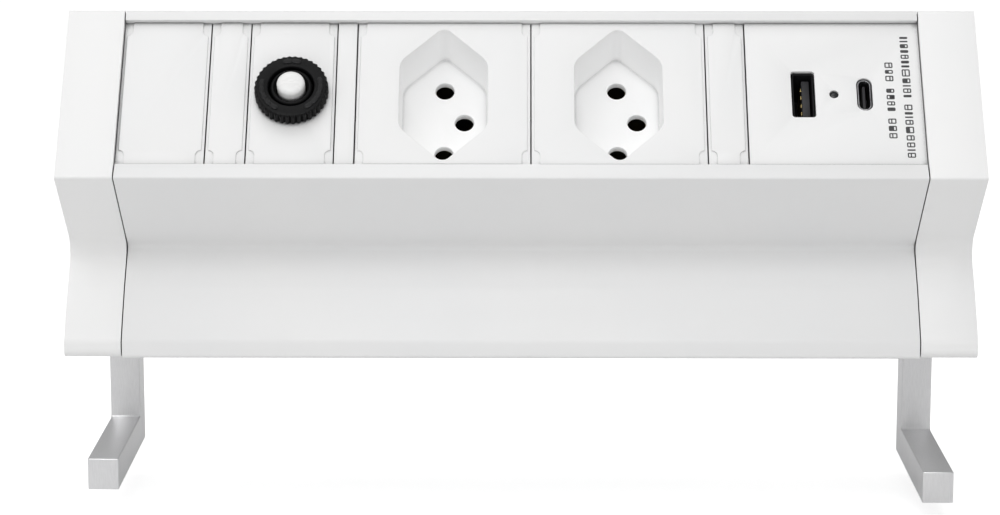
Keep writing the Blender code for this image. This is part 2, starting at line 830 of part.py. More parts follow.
def build_usb_electronics():
    """Circuit board, its components and the case round them."""
    board_x = (USB_A_X - 10, USB_C_X + 8)
    box("usb_circuit_board", board_x, (10.5, 40.5), (-17.0, -15.4), PANEL, BOARD)
    transformer_x = (USB_A_X - 6, USB_A_X + 8)
    box("usb_transformer", transformer_x, (14, 28), PARTS_SPAN, PANEL, COPPER)
    capacitor = (USB_C_X - 1, MID_RISE + 4)
    rod("usb_capacitor", capacitor, PARTS_SPAN, 4.6, 20, PANEL, BLACK_PLASTIC)

    middle = (SPANS["usb"][0] + SPANS["usb"][1]) / 2
    case = box(
        "usb_housing",
        around(middle, HOUSING_HALF_X),
        around(MID_RISE, HOUSING_HALF_RISE),
        (-33, -4.4),
        PANEL,
        WHITE_PLASTIC,
    )
    hollow = box(
        "usb_housing_hollow",
        around(middle, HOUSING_HALF_X - CASE_WALL),
        around(MID_RISE, HOUSING_HALF_RISE - CASE_WALL),
        (-33 + CASE_WALL, 0),
        PANEL,
    )
    cut(case, hollow)


# ------------------------------------------------------------ supply inlet
INLET_WALL = 2.0


def build_inlet():
    """Three-pin inlet, open to the back."""
    inlet = box(
        "inlet_housing",
        around(INLET_X, INLET_HALF_X),
        (-10, 12.9),
        around(INLET_Z, INLET_HALF_Z),
        look=BLACK_PLASTIC,
    )
    recess_x = around(INLET_X, INLET_HALF_X - INLET_WALL)
    recess_z = around(INLET_Z, INLET_HALF_Z - INLET_WALL)
    cut(inlet, box("inlet_recess", recess_x, (-3, 20), recess_z))
    for number in (1, 2, 3):
        x = INLET_X + (number - 2) * INLET_PITCH
        along_y = shift(x, 0, INLET_Z) @ Matrix.Rotation(radians(-90), 4, "X")
        cut(inlet, rod(f"inlet_pin_hole_{number}", (0, 0), (-20, 0), 1.6, 12, along_y))
        rod(f"inlet_pin_{number}", (0, 0), (-14, 9), 1.25, 12, along_y, BRASS)


# ------------------------------------------------------------ conductors
WIRE_R = 1.0
WIRE_BEND = 4.0
BREAKER_WIRE_Z = -39.6    # wire ends at the breaker, in its own frame


def conductor(name, look, start, end, y, z):
    """A wire that runs along X at (y, z) between its two ends."""
    path = [start, (start[0], y, z), (end[0], y, z), end]
    tube(name, bend(path, WIRE_BEND), WIRE_R, look)


def build_conductors():
    line, neutral, earth = (
        (INLET_X + offset, INLET_WIRE_Y, INLET_Z) for offset in (-INLET_PITCH, 0, INLET_PITCH)
    )
    breaker_in = breaker_point(0, -TERMINAL_OFFSET, BREAKER_WIRE_Z)
    breaker_out = breaker_point(0, TERMINAL_OFFSET, BREAKER_WIRE_Z)
    line_end = (70.0, *slope_point(30, -36))
    neutral_end = (66.0, *slope_point(14, -36))
    earth_end = (30.0, *slope_point(MID_RISE, -38))
    conductor("line_wire_supply", WIRE_BROWN, line, breaker_in, -19.0, 22.0)
    conductor("line_wire_switched", WIRE_BROWN, breaker_out, line_end, -17.0, 26.0)
    conductor("neutral_wire", WIRE_BLUE, neutral, neutral_end, -30.0, 9.0)
    conductor("earth_wire", WIRE_GREEN, earth, earth_end, -24.0, 16.0)


def lift_to_desk():
    """Move everything up so that the desk top lies at Z = 0."""
    lift = shift(0, 0, -DESK)
    bpy.context.view_layer.update()
    for made in list(bpy.data.objects):
        made.matrix_world = lift @ made.matrix_world
    bpy.context.view_layer.update()


# ------------------------------------------------------------ build
build_body()
build_desk_pads()
build_end_cap("left_end_cap", -1)
build_end_cap("right_end_cap", 1)
build_bracket("left", -1, FOOT_TOP_LEFT)
build_bracket("right", 1, FOOT_TOP_RIGHT)
build_covers()
build_outlet("outlet_1")
build_outlet("outlet_2")
build_breaker_body()
build_ring_nut()
build_reset_button()
build_usb_front()
build_usb_ports()
build_usb_electronics()
build_inlet()
build_conductors()
lift_to_desk()
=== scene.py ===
"""A desk power unit: a long housing with a sloping panel, closed by two end caps.

The housing runs along X and the panel faces the front, which is -Y, and upwards. The desk
top lies at z = 0. The panel carries, from left (-X) to right, a blank cover, a narrow cover,
a breaker, a spacer, two outlets, a narrow cover and a USB charger. An L-shaped bracket with
a clamp screw sits in each end cap. Shape dimensions are in mm; materials, lights and the
camera are in metres.
"""

from math import atan2, cos, pi, radians, sin, tan

import bmesh
import bpy
from mathutils import Matrix, Vector


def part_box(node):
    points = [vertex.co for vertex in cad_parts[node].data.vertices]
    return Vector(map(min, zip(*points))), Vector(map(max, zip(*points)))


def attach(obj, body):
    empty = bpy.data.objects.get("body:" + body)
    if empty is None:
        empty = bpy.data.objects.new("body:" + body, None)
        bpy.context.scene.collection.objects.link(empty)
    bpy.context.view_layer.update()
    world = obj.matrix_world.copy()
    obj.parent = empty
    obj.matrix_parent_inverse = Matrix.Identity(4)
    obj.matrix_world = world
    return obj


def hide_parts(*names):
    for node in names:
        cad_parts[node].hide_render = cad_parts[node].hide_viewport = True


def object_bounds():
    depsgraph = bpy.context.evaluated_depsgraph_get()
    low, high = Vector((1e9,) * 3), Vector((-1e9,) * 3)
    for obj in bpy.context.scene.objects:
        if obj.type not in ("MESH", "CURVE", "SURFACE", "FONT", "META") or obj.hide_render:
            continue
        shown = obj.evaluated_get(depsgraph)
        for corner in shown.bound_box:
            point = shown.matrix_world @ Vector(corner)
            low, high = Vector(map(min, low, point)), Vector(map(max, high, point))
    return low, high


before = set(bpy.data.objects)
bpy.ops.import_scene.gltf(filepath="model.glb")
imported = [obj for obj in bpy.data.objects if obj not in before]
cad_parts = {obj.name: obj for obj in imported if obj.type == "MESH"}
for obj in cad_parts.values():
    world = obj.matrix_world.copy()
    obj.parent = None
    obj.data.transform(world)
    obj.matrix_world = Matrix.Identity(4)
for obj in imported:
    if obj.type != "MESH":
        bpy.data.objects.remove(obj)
CAD_LOW, CAD_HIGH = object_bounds()

MM = 0.001

# ------------------------------------------------------------ shared dimensions
GAP = 0.3  # clearance between neighbouring pieces
BODY_HALF = 99.5
CAP_START, CAP_END = 99.8, 114.0
DESK = -1.4  # level of the desk top in the drawing; everything is lifted so that it lies at 0
UNDERSIDE = -0.9
WALL = 2.0
CAP_WALL = 2.2

# corners of the housing section, as (y, z), from the nose down the front to the foot
NOSE = (-77.9, 46.1)
WAIST = (-52.4, 24.6)
SKIRT_A = (-60.5, 15.4)
SKIRT_B = (-66.0, 7.9)
SKIRT_C = (-68.9, 3.5)
SKIRT_FOOT = (-69.2, UNDERSIDE)
BACK_Y = 13.0

# the panel: s runs up the slope from the nose, and local z points out of the panel
SLOPE = radians(49.56)
PANEL_WIDTH = 49.8
LIP_LOW, LIP_HIGH = 4.2, 46.8  # the opening between the lips, along s
MID_S = (LIP_LOW + LIP_HIGH) / 2
LEDGE = 0.7
LEDGE_Z, ROOF_Z = -4.3, -5.5
PLATE_TOP = -1.5
PLATE_LOW = PLATE_TOP - 2.5

# the two screw channels along the housing, as (y, z)
BOSSES = {"low": (-57.0, 4.0), "high": (-9.0, 47.5)}
BORE_R = 1.75

PADS = {"front": (-66, -56), "rear": (-6, 4)}  # y spans
PAD_HALF_X = 95

INLET_X, INLET_Z = -70.0, 17.0
INLET_HALF_X, INLET_HALF_Z = 12, 9

# ------------------------------------------------------------ frames of reference
LIFT = Matrix.Translation(Vector((0, 0, -DESK * MM)))
PANEL = Matrix.Translation(Vector((0, NOSE[0] * MM, NOSE[1] * MM))) @ Matrix.Rotation(
    SLOPE, 4, "X"
)
# outlines in (y, z), extruded along x
SECTION = Matrix(((0, 0, 1, 0), (1, 0, 0, 0), (0, 1, 0, 0), (0, 0, 0, 1)))
WORLD = Matrix()

scene = bpy.context.scene
LOOKS = bpy.data.collections.new("looks")
scene.collection.children.link(LOOKS)
TOOLS = []  # objects used only as boolean operands


# ------------------------------------------------------------ outlines
def slope_point(s, z):
    """The (y, z) section point at s along the panel and z out of it."""
    return (
        NOSE[0] + s * cos(SLOPE) - z * sin(SLOPE),
        NOSE[1] + s * sin(SLOPE) + z * cos(SLOPE),
    )


def rounded(points, radii, steps):
    """Rounds the corners by one radius, or by one radius each, where 0 stays sharp."""
    if not isinstance(radii, (list, tuple)):
        radii = [radii] * len(points)
    out = []
    for i, (point, radius) in enumerate(zip(points, radii)):
        corner = Vector(point)
        to_last = (Vector(points[i - 1]) - corner).normalized()
        to_next = (Vector(points[(i + 1) % len(points)]) - corner).normalized()
        half = to_last.angle(to_next) / 2
        if radius <= 0 or half > radians(89.5):
            out.append(tuple(corner))
            continue
        reach = radius / tan(half)
        centre = corner + (to_last + to_next).normalized() * (radius / sin(half))
        start = corner + to_last * reach - centre
        end = corner + to_next * reach - centre
        turn = atan2(start.x * end.y - start.y * end.x, start.dot(end))
        first = atan2(start.y, start.x)
        for k in range(steps + 1):
            angle = first + turn * k / steps
            out.append((centre.x + radius * cos(angle), centre.y + radius * sin(angle)))
    return out


def inset(points, distance):
    """Moves every side of a counter-clockwise outline inwards."""
    out = []
    for i, point in enumerate(points):
        corner = Vector(point)
        arriving = (corner - Vector(points[i - 1])).normalized()
        leaving = (Vector(points[(i + 1) % len(points)]) - corner).normalized()
        normal = Vector((-arriving.y, arriving.x))
        bisect = (normal + Vector((-leaving.y, leaving.x))).normalized()
        out.append(tuple(corner + bisect * (distance / bisect.dot(normal))))
    return out


def circle(x, y, radius, count):
    angles = [2 * pi * k / count for k in range(count)]
    return [(x + radius * cos(angle), y + radius * sin(angle)) for angle in angles]


def rectangle(x0, x1, y0, y1):
    return [(x0, y0), (x1, y0), (x1, y1), (x0, y1)]


def centred(x, y, half_x, half_y):
    return rectangle(x - half_x, x + half_x, y - half_y, y + half_y)


# ------------------------------------------------------------ makers
def add(name, bm, matrix):
    mesh = bpy.data.meshes.new(name)
    bm.to_mesh(mesh)
    bm.free()
    made = bpy.data.objects.new(name, mesh)
    made.matrix_world = LIFT @ matrix
    LOOKS.objects.link(made)
    return made


def prism(name, outline, low, high, matrix, top=None):
    """A flat outline extruded along local z; top gives another outline for the upper end."""
    bm = bmesh.new()
    below = [bm.verts.new((x * MM, y * MM, low * MM)) for x, y in outline]
    above = [bm.verts.new((x * MM, y * MM, high * MM)) for x, y in top or outline]
    bm.faces.new(list(reversed(below)))
    bm.faces.new(above)
    join_rings(bm, below, above, flip=True)
    bmesh.ops.recalc_face_normals(bm, faces=bm.faces)
    return add(name, bm, matrix)


def box(name, x, y, z, matrix):
    return prism(name, rectangle(*x, *y), *z, matrix)


def rod(name, x, y, z, radius, count, matrix, top_radius=None):
    top = circle(x, y, top_radius or radius, count)
    return prism(name, circle(x, y, radius, count), *z, matrix, top)


def ring(bm, radii, z):
    """A ring of vertices about local z, one for each radius."""
    angles = [2 * pi * k / len(radii) for k in range(len(radii))]
    return [
        bm.verts.new((radius * cos(angle) * MM, radius * sin(angle) * MM, z * MM))
        for radius, angle in zip(radii, angles)
    ]


def join_rings(bm, first, second, flip=False):
    """Faces between two rings of the same length; flip walks each face the other way."""
    for k in range(len(first)):
        m = (k + 1) % len(first)
        if flip:
            bm.faces.new((first[k], first[m], second[m], second[k]))
        else:
            bm.faces.new((first[k], second[k], second[m], first[m]))


def turned(name, profile, count, matrix):
    """A profile of (radius, z) spun about local z; it starts and ends on the axis."""
    bm = bmesh.new()
    rings = [
        ring(bm, [radius] * count, z) if radius else [bm.verts.new((0, 0, z * MM))]
        for radius, z in profile
    ]
    for first, second in zip(rings, rings[1:]):
        if len(first) == len(second):
            join_rings(bm, first, second)
            continue
        for k in range(count):
            m = (k + 1) % count
            if len(first) == 1:
                bm.faces.new((first[0], second[k], second[m]))
            else:
                bm.faces.new((first[k], second[0], first[m]))
    bmesh.ops.recalc_face_normals(bm, faces=bm.faces)
    return add(name, bm, matrix)


def cut(target, *others, operation="DIFFERENCE"):
    """Adds a boolean for each of the others, which are removed at the end."""
    for other in others:
        mod = target.modifiers.new("cut", "BOOLEAN")
        mod.object = other
        mod.operation = operation
        mod.solver = "EXACT"
    TOOLS.extend(others)
    return target


def join(target, other):
    return cut(target, other, operation="UNION")


def apply_modifiers(obj):
    bpy.context.view_layer.update()
    graph = bpy.context.evaluated_depsgraph_get()
    mesh = bpy.data.meshes.new_from_object(obj.evaluated_get(graph))
    obj.modifiers.clear()
    mesh.name = obj.name
    obj.data = mesh


def shade(obj, sharp):
    obj.data.shade_smooth()
    obj.data.set_sharp_from_angle(angle=radians(sharp))


def settle(obj, bevel=0.0, segments=2, angle=40.0):
    """Applies the cuts, merges flat faces, rounds the edges and shades smooth."""
    apply_modifiers(obj)
    bm = bmesh.new()
    bm.from_mesh(obj.data)
    bmesh.ops.remove_doubles(bm, verts=bm.verts, dist=2e-6)
    bmesh.ops.dissolve_limit(
        bm, angle_limit=radians(0.6), verts=bm.verts, edges=bm.edges
    )
    bm.to_mesh(obj.data)
    bm.free()
    if bevel:
        mod = obj.modifiers.new("edge", "BEVEL")
        mod.width = bevel * MM
        mod.segments = segments
        mod.limit_method = "ANGLE"
        mod.angle_limit = radians(angle)
        mod.use_clamp_overlap = True
        mod.miter_outer = "MITER_SHARP"
        apply_modifiers(obj)
    shade(obj, sharp=38)
    return obj


def finish_piece(obj, look, *nodes, slot, body="housing"):
    """Gives a piece its material and body, and hides the CAD nodes it stands in for."""
    obj.data.materials.clear()
    obj.data.materials.append(look)
    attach(obj, body)
    if nodes:
        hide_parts(*nodes)


# ------------------------------------------------------------ material helpers
def tinted(colour, factor, lift=0.0):
    """A colour made darker or lighter by a factor, plus a lift."""
    return tuple(min(1, c * factor + lift) for c in colour)


class Material:
    """A Principled material; textures use object coordinates and bumps are chained."""

    def __init__(self, name):
        self.material = bpy.data.materials.new(name)
        self.material.use_nodes = True
        self.tree = self.material.node_tree
        self.tree.nodes.clear()
        output = self.node("OutputMaterial")
        self.shader = self.node("BsdfPrincipled")
        self.link(self.shader.outputs["BSDF"], output.inputs["Surface"])
        self.coordinates = self.node("TexCoord").outputs["Object"]
        self.normal = None

    def link(self, source, into):
        self.tree.links.new(source, into)

    def fill(self, node, inputs):
        """Links or sets inputs by name, with underscores for spaces."""
        for key, value in inputs.items():
            into = node.inputs[key.replace("_", " ")]
            if isinstance(value, bpy.types.NodeSocket):
                self.link(value, into)
            else:
                into.default_value = value

    def node(self, kind, **inputs):
        made = self.tree.nodes.new("ShaderNode" + kind)
        self.fill(made, inputs)
        return made

    def surface(self, **inputs):
        self.fill(self.shader, inputs)

    def noise(self, scale, detail, rough=0.5, stretch=None):
        made = self.node("TexNoise", Scale=scale, Detail=detail, Roughness=rough)
        place = self.coordinates
        if stretch:
            mapping = self.node("Mapping", Vector=place, Scale=stretch)
            place = mapping.outputs["Vector"]
        self.link(place, made.inputs["Vector"])
        return made.outputs["Fac"]

    def ramp(self, source, first, last):
        """Colours a value between two stops, each (position, colour)."""
        made = self.node("ValToRGB", Fac=source)
        for element, (position, colour) in zip(made.color_ramp.elements, (first, last)):
            element.position = position
            element.color = (*colour, 1.0)
        return made.outputs["Color"]

    def remap(self, source, span=(0.0, 1.0), to=(0.0, 1.0)):
        made = self.node(
            "MapRange",
            Value=source, From_Min=span[0], From_Max=span[1], To_Min=to[0], To_Max=to[1],
        )
        return made.outputs["Result"]

    def bump(self, height, strength, distance):
        made = self.node("Bump", Height=height, Strength=strength, Distance=distance)
        if self.normal is not None:
            self.link(self.normal, made.inputs["Normal"])
        self.normal = made.outputs["Normal"]
        self.surface(Normal=self.normal)

    def mix(self, factor, first, second, blend="MIX"):
        """Mixes two colours, each a tuple or a socket."""
        made = self.node("Mix")
        made.data_type = "RGBA"
        made.blend_type = blend
        self.link(factor, made.inputs["Factor"])
        colours = [socket for socket in made.inputs if socket.type == "RGBA"]
        for source, into in zip((first, second), colours):
            if isinstance(source, tuple):
                into.default_value = (*source, 1.0)
            else:
                self.link(source, into)
        return next(socket for socket in made.outputs if socket.type == "RGBA")

    def occlusion(self, distance, samples):
        made = self.node("AmbientOcclusion", Distance=distance)
        made.samples = samples
        return made.outputs["AO"]

    def worn_edges(self, radius, share):
        """A mask that is bright along edges, broken up by noise."""
        bevel = self.node("Bevel", Radius=radius)
        bevel.samples = 4
        geometry = self.node("NewGeometry")
        dot = self.node("VectorMath")
        dot.operation = "DOT_PRODUCT"
        self.link(bevel.outputs["Normal"], dot.inputs[0])
        self.link(geometry.outputs["Normal"], dot.inputs[1])
        edge = self.remap(dot.outputs["Value"], span=(0.75, 0.999), to=(1.0, 0.0))
        grime = self.noise(scale=900, detail=4)
        patches = self.remap(grime, span=(0.4, 0.7), to=(0.0, share))
        product = self.node("Math")
        product.operation = "MULTIPLY"
        self.link(edge, product.inputs[0])
        self.link(patches, product.inputs[1])
        return product.outputs["Value"]


# ------------------------------------------------------------ materials
# painted seam shade: the reach of the painted shadow in seams and creases, then the occlusion
# where it is full and where it ends
OPEN_SEAM_SHADE = (0.0011, 0.12, 0.62)
PLATE_SEAM_SHADE = (0.0019, 0.22, 0.78)
SEAM_SHADE_COLOUR = (0.16, 0.16, 0.165)


def white_coat(
    name, base, second, rough, grain, depth, edge_share=0.5, through=0.0, seams=OPEN_SEAM_SHADE
):
    """Painted or moulded white: a soft mottling, a fine grain, dulled edges, and painted
    shade in seams and creases.

    grain and depth are the scale and height of the fine bump; through is the strength of a
    painted glow, emission that lightens the deep parts of a recess.
    """
    mat = Material(name)
    broad = mat.noise(scale=28, detail=3)
    fine = mat.noise(scale=grain, detail=2, rough=0.55)
    colour = mat.mix(mat.remap(broad, span=(0.3, 0.7)), base, second)
    edge = mat.worn_edges(radius=0.0004, share=edge_share)
    worn = mat.mix(edge, colour, tinted(base, 0.90))
    # painted shade: the colour darkens towards a grey where ambient occlusion finds a seam or
    # crease
    reach, full, clear = seams
    seam = mat.occlusion(distance=reach, samples=4)
    final = mat.mix(mat.remap(seam, span=(full, clear)), SEAM_SHADE_COLOUR, worn)
    smear = mat.noise(scale=60, detail=4, rough=0.6, stretch=(0.6, 1.6, 1.6))
    mat.surface(
        Base_Color=final,
        Roughness=mat.remap(smear, span=(0.3, 0.7), to=(rough - 0.06, rough + 0.07)),
        Specular_IOR_Level=0.45,
    )
    mat.bump(fine, strength=0.22, distance=depth)
    mat.bump(mat.noise(scale=150, detail=2), strength=0.12, distance=0.00006)
    # painted light: the deep parts of a recess glow, though the plastic is no lamp
    if through:
        deep = mat.occlusion(distance=0.024, samples=6)
        mat.surface(
            Emission_Strength=mat.remap(deep, span=(0.35, 0.97), to=(through, 0.0)),
            Emission_Color=(1, 1, 1, 1),
        )
    return mat.material


def black_plastic(name, base, rough, depth=0.00002, edge_share=0.22):
    """Clouded dark plastic with paler edges; depth is the height of its grain."""
    mat = Material(name)
    cloud = mat.noise(scale=220, detail=4)
    colour = mat.mix(mat.remap(cloud, span=(0.35, 0.65)), base, tinted(base, 1.5))
    edge = mat.worn_edges(radius=0.00025, share=edge_share)
    mat.surface(
        Base_Color=mat.mix(edge, colour, tinted(base, 4.5, lift=0.03)),
        Roughness=mat.remap(cloud, span=(0.3, 0.7), to=(rough - 0.07, rough + 0.09)),
        Specular_IOR_Level=0.13,
    )
    mat.bump(mat.noise(scale=3200, detail=3), strength=0.3, distance=depth)
    return mat.material


def brushed(name, base, rough, stretch, aniso, scale=1.0, streak=0.00003, grain=1.0):
    """Metal with fine lines along one axis and a cloudy anodised tone.

    scale and streak are the fineness and height of the lines, grain their contrast.
    """
    mat = Material(name)
    lines = mat.noise(scale=1400 * scale, detail=4, rough=0.62, stretch=stretch)
    broad = mat.noise(scale=45, detail=3)
    line_mask = mat.remap(lines, span=(0.3, 0.7))
    lined = mat.mix(line_mask, base, tinted(base, 1 - 0.14 * grain))
    cloud_mask = mat.remap(broad, span=(0.35, 0.65), to=(0.0, 0.25))
    clouded = mat.mix(cloud_mask, lined, (0.9, 0.9, 0.92), blend="MULTIPLY")
    edge = mat.worn_edges(radius=0.0003, share=0.9)
    gloss = (rough - 0.06 * grain, rough + 0.1 * grain)
    mat.surface(
        Base_Color=mat.mix(edge, clouded, tinted(base, 1.12)),
        Metallic=1.0,
        Anisotropic=aniso,
        Roughness=mat.remap(lines, span=(0.3, 0.7), to=gloss),
    )
    mat.bump(lines, strength=0.2 * grain, distance=streak)
    return mat.material


def lens_material():
    mat = Material("indicator_lens")
    cloud = mat.noise(scale=1500, detail=2)
    colour = mat.mix(mat.remap(cloud), (0.008, 0.009, 0.011), (0.015, 0.016, 0.019))
    mat.surface(Base_Color=colour, Roughness=0.35, Coat_Weight=0.1, Coat_Roughness=0.2)
    mat.bump(cloud, strength=0.1, distance=0.00001)
    return mat.material


def board_material():
    mat = Material("circuit_board")
    grid = mat.node(
        "TexBrick",
        Vector=mat.coordinates,
        Scale=320,
        Color1=(0.02, 0.16, 0.06, 1),
        Color2=(0.03, 0.2, 0.08, 1),
        Mortar=(0.05, 0.3, 0.12, 1),
        Mortar_Size=0.05,
    )
    mat.surface(Base_Color=grid.outputs["Color"], Roughness=0.35, Coat_Weight=0.4)
    mat.bump(grid.outputs["Fac"], strength=0.3, distance=0.00003)
    return mat.material


def foam_material():
    mat = Material("foam_pad")
    cells = mat.node("TexVoronoi", Vector=mat.coordinates, Scale=1400).outputs["Distance"]
    colour = mat.ramp(cells, (0.0, (0.012, 0.012, 0.012)), (0.8, (0.05, 0.05, 0.052)))
    mat.surface(Base_Color=colour, Roughness=0.85, Sheen_Weight=0.2)
    mat.bump(cells, strength=0.6, distance=0.0001)
    return mat.material


def ink_material():
    mat = Material("print_ink")
    speck = mat.noise(scale=5200, detail=2)
    speck_mask = mat.remap(speck, span=(0.4, 0.6))
    colour = mat.mix(speck_mask, (0.03, 0.03, 0.032), (0.07, 0.07, 0.072))
    mat.surface(Base_Color=colour, Roughness=0.6)
    mat.bump(speck, strength=0.2, distance=0.00001)
    return mat.material


def insulation(name, base):
    mat = Material(name)
    cloud = mat.noise(scale=400, detail=3)
    mat.surface(
        Base_Color=mat.mix(mat.remap(cloud, span=(0.3, 0.7)), base, tinted(base, 0.8)),
        Roughness=mat.remap(cloud, to=(0.35, 0.5)),
    )
    mat.bump(cloud, strength=0.15, distance=0.00004)
    return mat.material


def winding_material():
    mat = Material("copper_winding")
    wave = mat.node("TexWave", Vector=mat.coordinates, Scale=900, Distortion=0.6)
    turns = wave.outputs["Fac"]
    colour = mat.ramp(turns, (0.0, (0.35, 0.13, 0.05)), (1.0, (0.85, 0.42, 0.2)))
    mat.surface(Base_Color=colour, Metallic=0.9, Roughness=0.35)
    mat.bump(turns, strength=0.5, distance=0.0001)
    return mat.material


# module plates take the wider, darker painted seam shade
MODULE_WHITE = dict(
    base=(0.865, 0.867, 0.868), second=(0.88, 0.879, 0.876),
    rough=0.5, grain=4200, depth=0.000014, seams=PLATE_SEAM_SHADE,
)
COAT = white_coat(
    "white_powder_coat", base=(0.845, 0.848, 0.85), second=(0.86, 0.86, 0.858),
    rough=0.42, grain=2600, depth=0.00003,
)
CAP = white_coat(
    "white_cap_plastic", base=(0.895, 0.896, 0.896), second=(0.905, 0.904, 0.9),
    rough=0.46, grain=3600, depth=0.00002,
)
MODULE = white_coat("white_module_plastic", **MODULE_WHITE)
# the outlet plates carry the painted glow in their recesses
OUTLET = white_coat("white_outlet_plastic", through=0.085, **MODULE_WHITE)
BUTTON = white_coat(
    "white_button_plastic", base=(0.84, 0.84, 0.835), second=(0.86, 0.858, 0.85),
    rough=0.28, grain=4200, depth=0.00001, edge_share=0.8,
)
BLACK = black_plastic("black_moulding", base=(0.0035, 0.0035, 0.0038), rough=0.42)
BLACK_MARK = black_plastic(
    "black_raised_mark", base=(0.012, 0.012, 0.0125), rough=0.3, depth=0.00001, edge_share=0.6
)
BLACK_DEEP = black_plastic("black_receptacle", base=(0.006, 0.006, 0.007), rough=0.5)
BLACK_TONGUE = black_plastic("dark_tongue", base=(0.035, 0.035, 0.037), rough=0.42)
INLET_BLACK = black_plastic("black_inlet", base=(0.02, 0.02, 0.021), rough=0.45)
ALU = brushed(
    "satin_aluminium", base=(0.88, 0.88, 0.885), rough=0.4, stretch=(1.0, 0.12, 1.0),
    aniso=0.3, scale=2.2, streak=0.00001, grain=0.45,
)
STEEL = brushed(
    "zinc_steel", base=(0.56, 0.57, 0.58), rough=0.3, stretch=(1.0, 1.0, 0.15), aniso=0.2
)
SHELL = brushed(
    "receptacle_steel", base=(0.3, 0.3, 0.31), rough=0.3, stretch=(1.0, 0.2, 0.2), aniso=0.3
)
BRASS = brushed(
    "brass_contact", base=(0.72, 0.55, 0.24), rough=0.28, stretch=(1.0, 1.0, 0.1), aniso=0.2
)
LENS = lens_material()
BOARD = board_material()
FOAM = foam_material()
INK = ink_material()
BROWN = insulation("line_insulation", base=(0.16, 0.06, 0.025))
BLUE = insulation("neutral_insulation", base=(0.03, 0.09, 0.4))
GREEN = insulation("earth_insulation", base=(0.25, 0.42, 0.05))
COPPER = winding_material()

# ------------------------------------------------------------ housing
TOP = slope_point(PANEL_WIDTH, 0)
# the top falls away to the back at a right angle to the panel
BACK_TOP = (BACK_Y, TOP[1] - (BACK_Y - TOP[0]) / tan(SLOPE))
CORNERS = [
    NOSE,
    WAIST,
    SKIRT_A,
    SKIRT_B,
    SKIRT_C,
    SKIRT_FOOT,
    (BACK_Y, UNDERSIDE),
    BACK_TOP,
    TOP,
]
HOUSING_RADII = [0.45, 1.6, 16.0, 16.0, 3.0, 1.0, 1.0, 3.0, 0.9]
CAP_RADII = [0.6, 5.5, 18.0, 16.0, 3.2, 2.4, 1.6, 3.0, 0.9]
INNER = inset(CORNERS, WALL)
# inside of the open section from the upper lip round to the lower one, as (point, radius)
INSIDE = [
    (slope_point(LIP_HIGH, 0), 0.25),
    (slope_point(LIP_HIGH, LEDGE_Z), 0),
    (slope_point(LIP_HIGH - LEDGE, LEDGE_Z), 0),
    (slope_point(LIP_HIGH - LEDGE, ROOF_Z), 0),
    (slope_point(PANEL_WIDTH - WALL, ROOF_Z), 0),
    (INNER[7], 1.5),
    (INNER[6], 0.5),
    (INNER[5], 0.5),
    (INNER[4], 0),
    (INNER[3], 8.0),
    (INNER[2], 10.0),
    (INNER[1], 1.5),
    (slope_point(WALL, ROOF_Z), 0),
    (slope_point(LIP_LOW + LEDGE, ROOF_Z), 0),
    (slope_point(LIP_LOW + LEDGE, LEDGE_Z), 0),
    (slope_point(LIP_LOW, LEDGE_Z), 0),
    (slope_point(LIP_LOW + 0.15, -0.85), 0.3),
]
CHANNEL_R = 3.3


def housing():
    outline = rounded(CORNERS, HOUSING_RADII, steps=10) + rounded(*zip(*INSIDE), steps=5)
    body = prism("housing_profile", outline, -BODY_HALF, BODY_HALF, SECTION)
    channel = (-BODY_HALF + 0.01, BODY_HALF - 0.01)
    for tag, (y, z) in BOSSES.items():
        join(body, rod("t_channel_" + tag, y, z, channel, CHANNEL_R, 28, SECTION))
        cut(body, rod("t_channel_bore_" + tag, y, z, (-120, 120), BORE_R, 20, SECTION))
    # grooves for the desk pads
    groove_x = (-PAD_HALF_X - GAP, PAD_HALF_X + GAP)
    for tag, (y0, y1) in PADS.items():
        span = (y0 - GAP, y1 + GAP)
        cut(body, box("t_groove_" + tag, groove_x, span, (DESK - 2, DESK + 1.1), WORLD))
    # the inlet opening, through the back wall
    opening = centred(INLET_X, INLET_Z, INLET_HALF_X + GAP, INLET_HALF_Z + GAP)
    upright = Matrix.Rotation(radians(90), 4, "X")
    cut(body, prism("t_inlet", rounded(opening, 1.0, steps=5), -16, -8, upright))
    settle(body, bevel=0.12, angle=35)
    finish_piece(body, COAT, "body_extrusion", slot="white_coat")


housing()

# ------------------------------------------------------------ end caps
BRACKET_X, BAR_X = 108.25, 8.0  # centre and thickness of a bracket
LEG_Y = (0.0, 10.0)
LEG_MID = (LEG_Y[0] + LEG_Y[1]) / 2
CHANNEL_TOP, SEAT_Z = 28.0, 31.0  # top of the bracket guide, floor of the screw head seat
GUIDE_Y = -3.2  # back end of the cap's hollow
CAP_FLOOR = 2.5
CAP_BOSS_R = 3.6
SINK_R, SINK_DEPTH = 4.0, 2.0
CROSS_HALF, CROSS_REACH = 0.32, 1.7
# (radius, z) of a cap screw from the head to the tip
CAP_SCREW = [
    (0, 0), (2.6, 0), (2.9, -0.12), (2.9, -0.3), (1.4, -1.55), (1.4, -20.5), (0.7, -21.5),
    (0, -21.5),
]


def cavity_outline():
    """The inset cap section, closed at the back by an upright wall at GUIDE_Y."""
    inner = inset(CORNERS, CAP_WALL)
    front, back = Vector(inner[8]), Vector(inner[7])
    share = (GUIDE_Y - front.x) / (back.x - front.x)
    points = [
        *inner[:6],
        (GUIDE_Y, inner[5][1]),
        (GUIDE_Y, front.y + (back.y - front.y) * share),
        inner[8],
    ]
    return rounded(points, [0.5, 5.0, 10.0, 8.0, 0, 1.0, 1.0, 1.0, 0.8], steps=5)


def cross_outline():
    quarter = [
        (CROSS_HALF, CROSS_HALF), (CROSS_HALF, CROSS_REACH), (-CROSS_HALF, CROSS_REACH)
    ]
    out = []
    for _ in range(4):
        out += quarter
        quarter = [(-y, x) for x, y in quarter]
    return out


def side_name(side):
    return "right" if side > 0 else "left"


def outwards(side, near, far):
    """The x span between two distances from the middle, on one side."""
    return sorted((side * near, side * far))


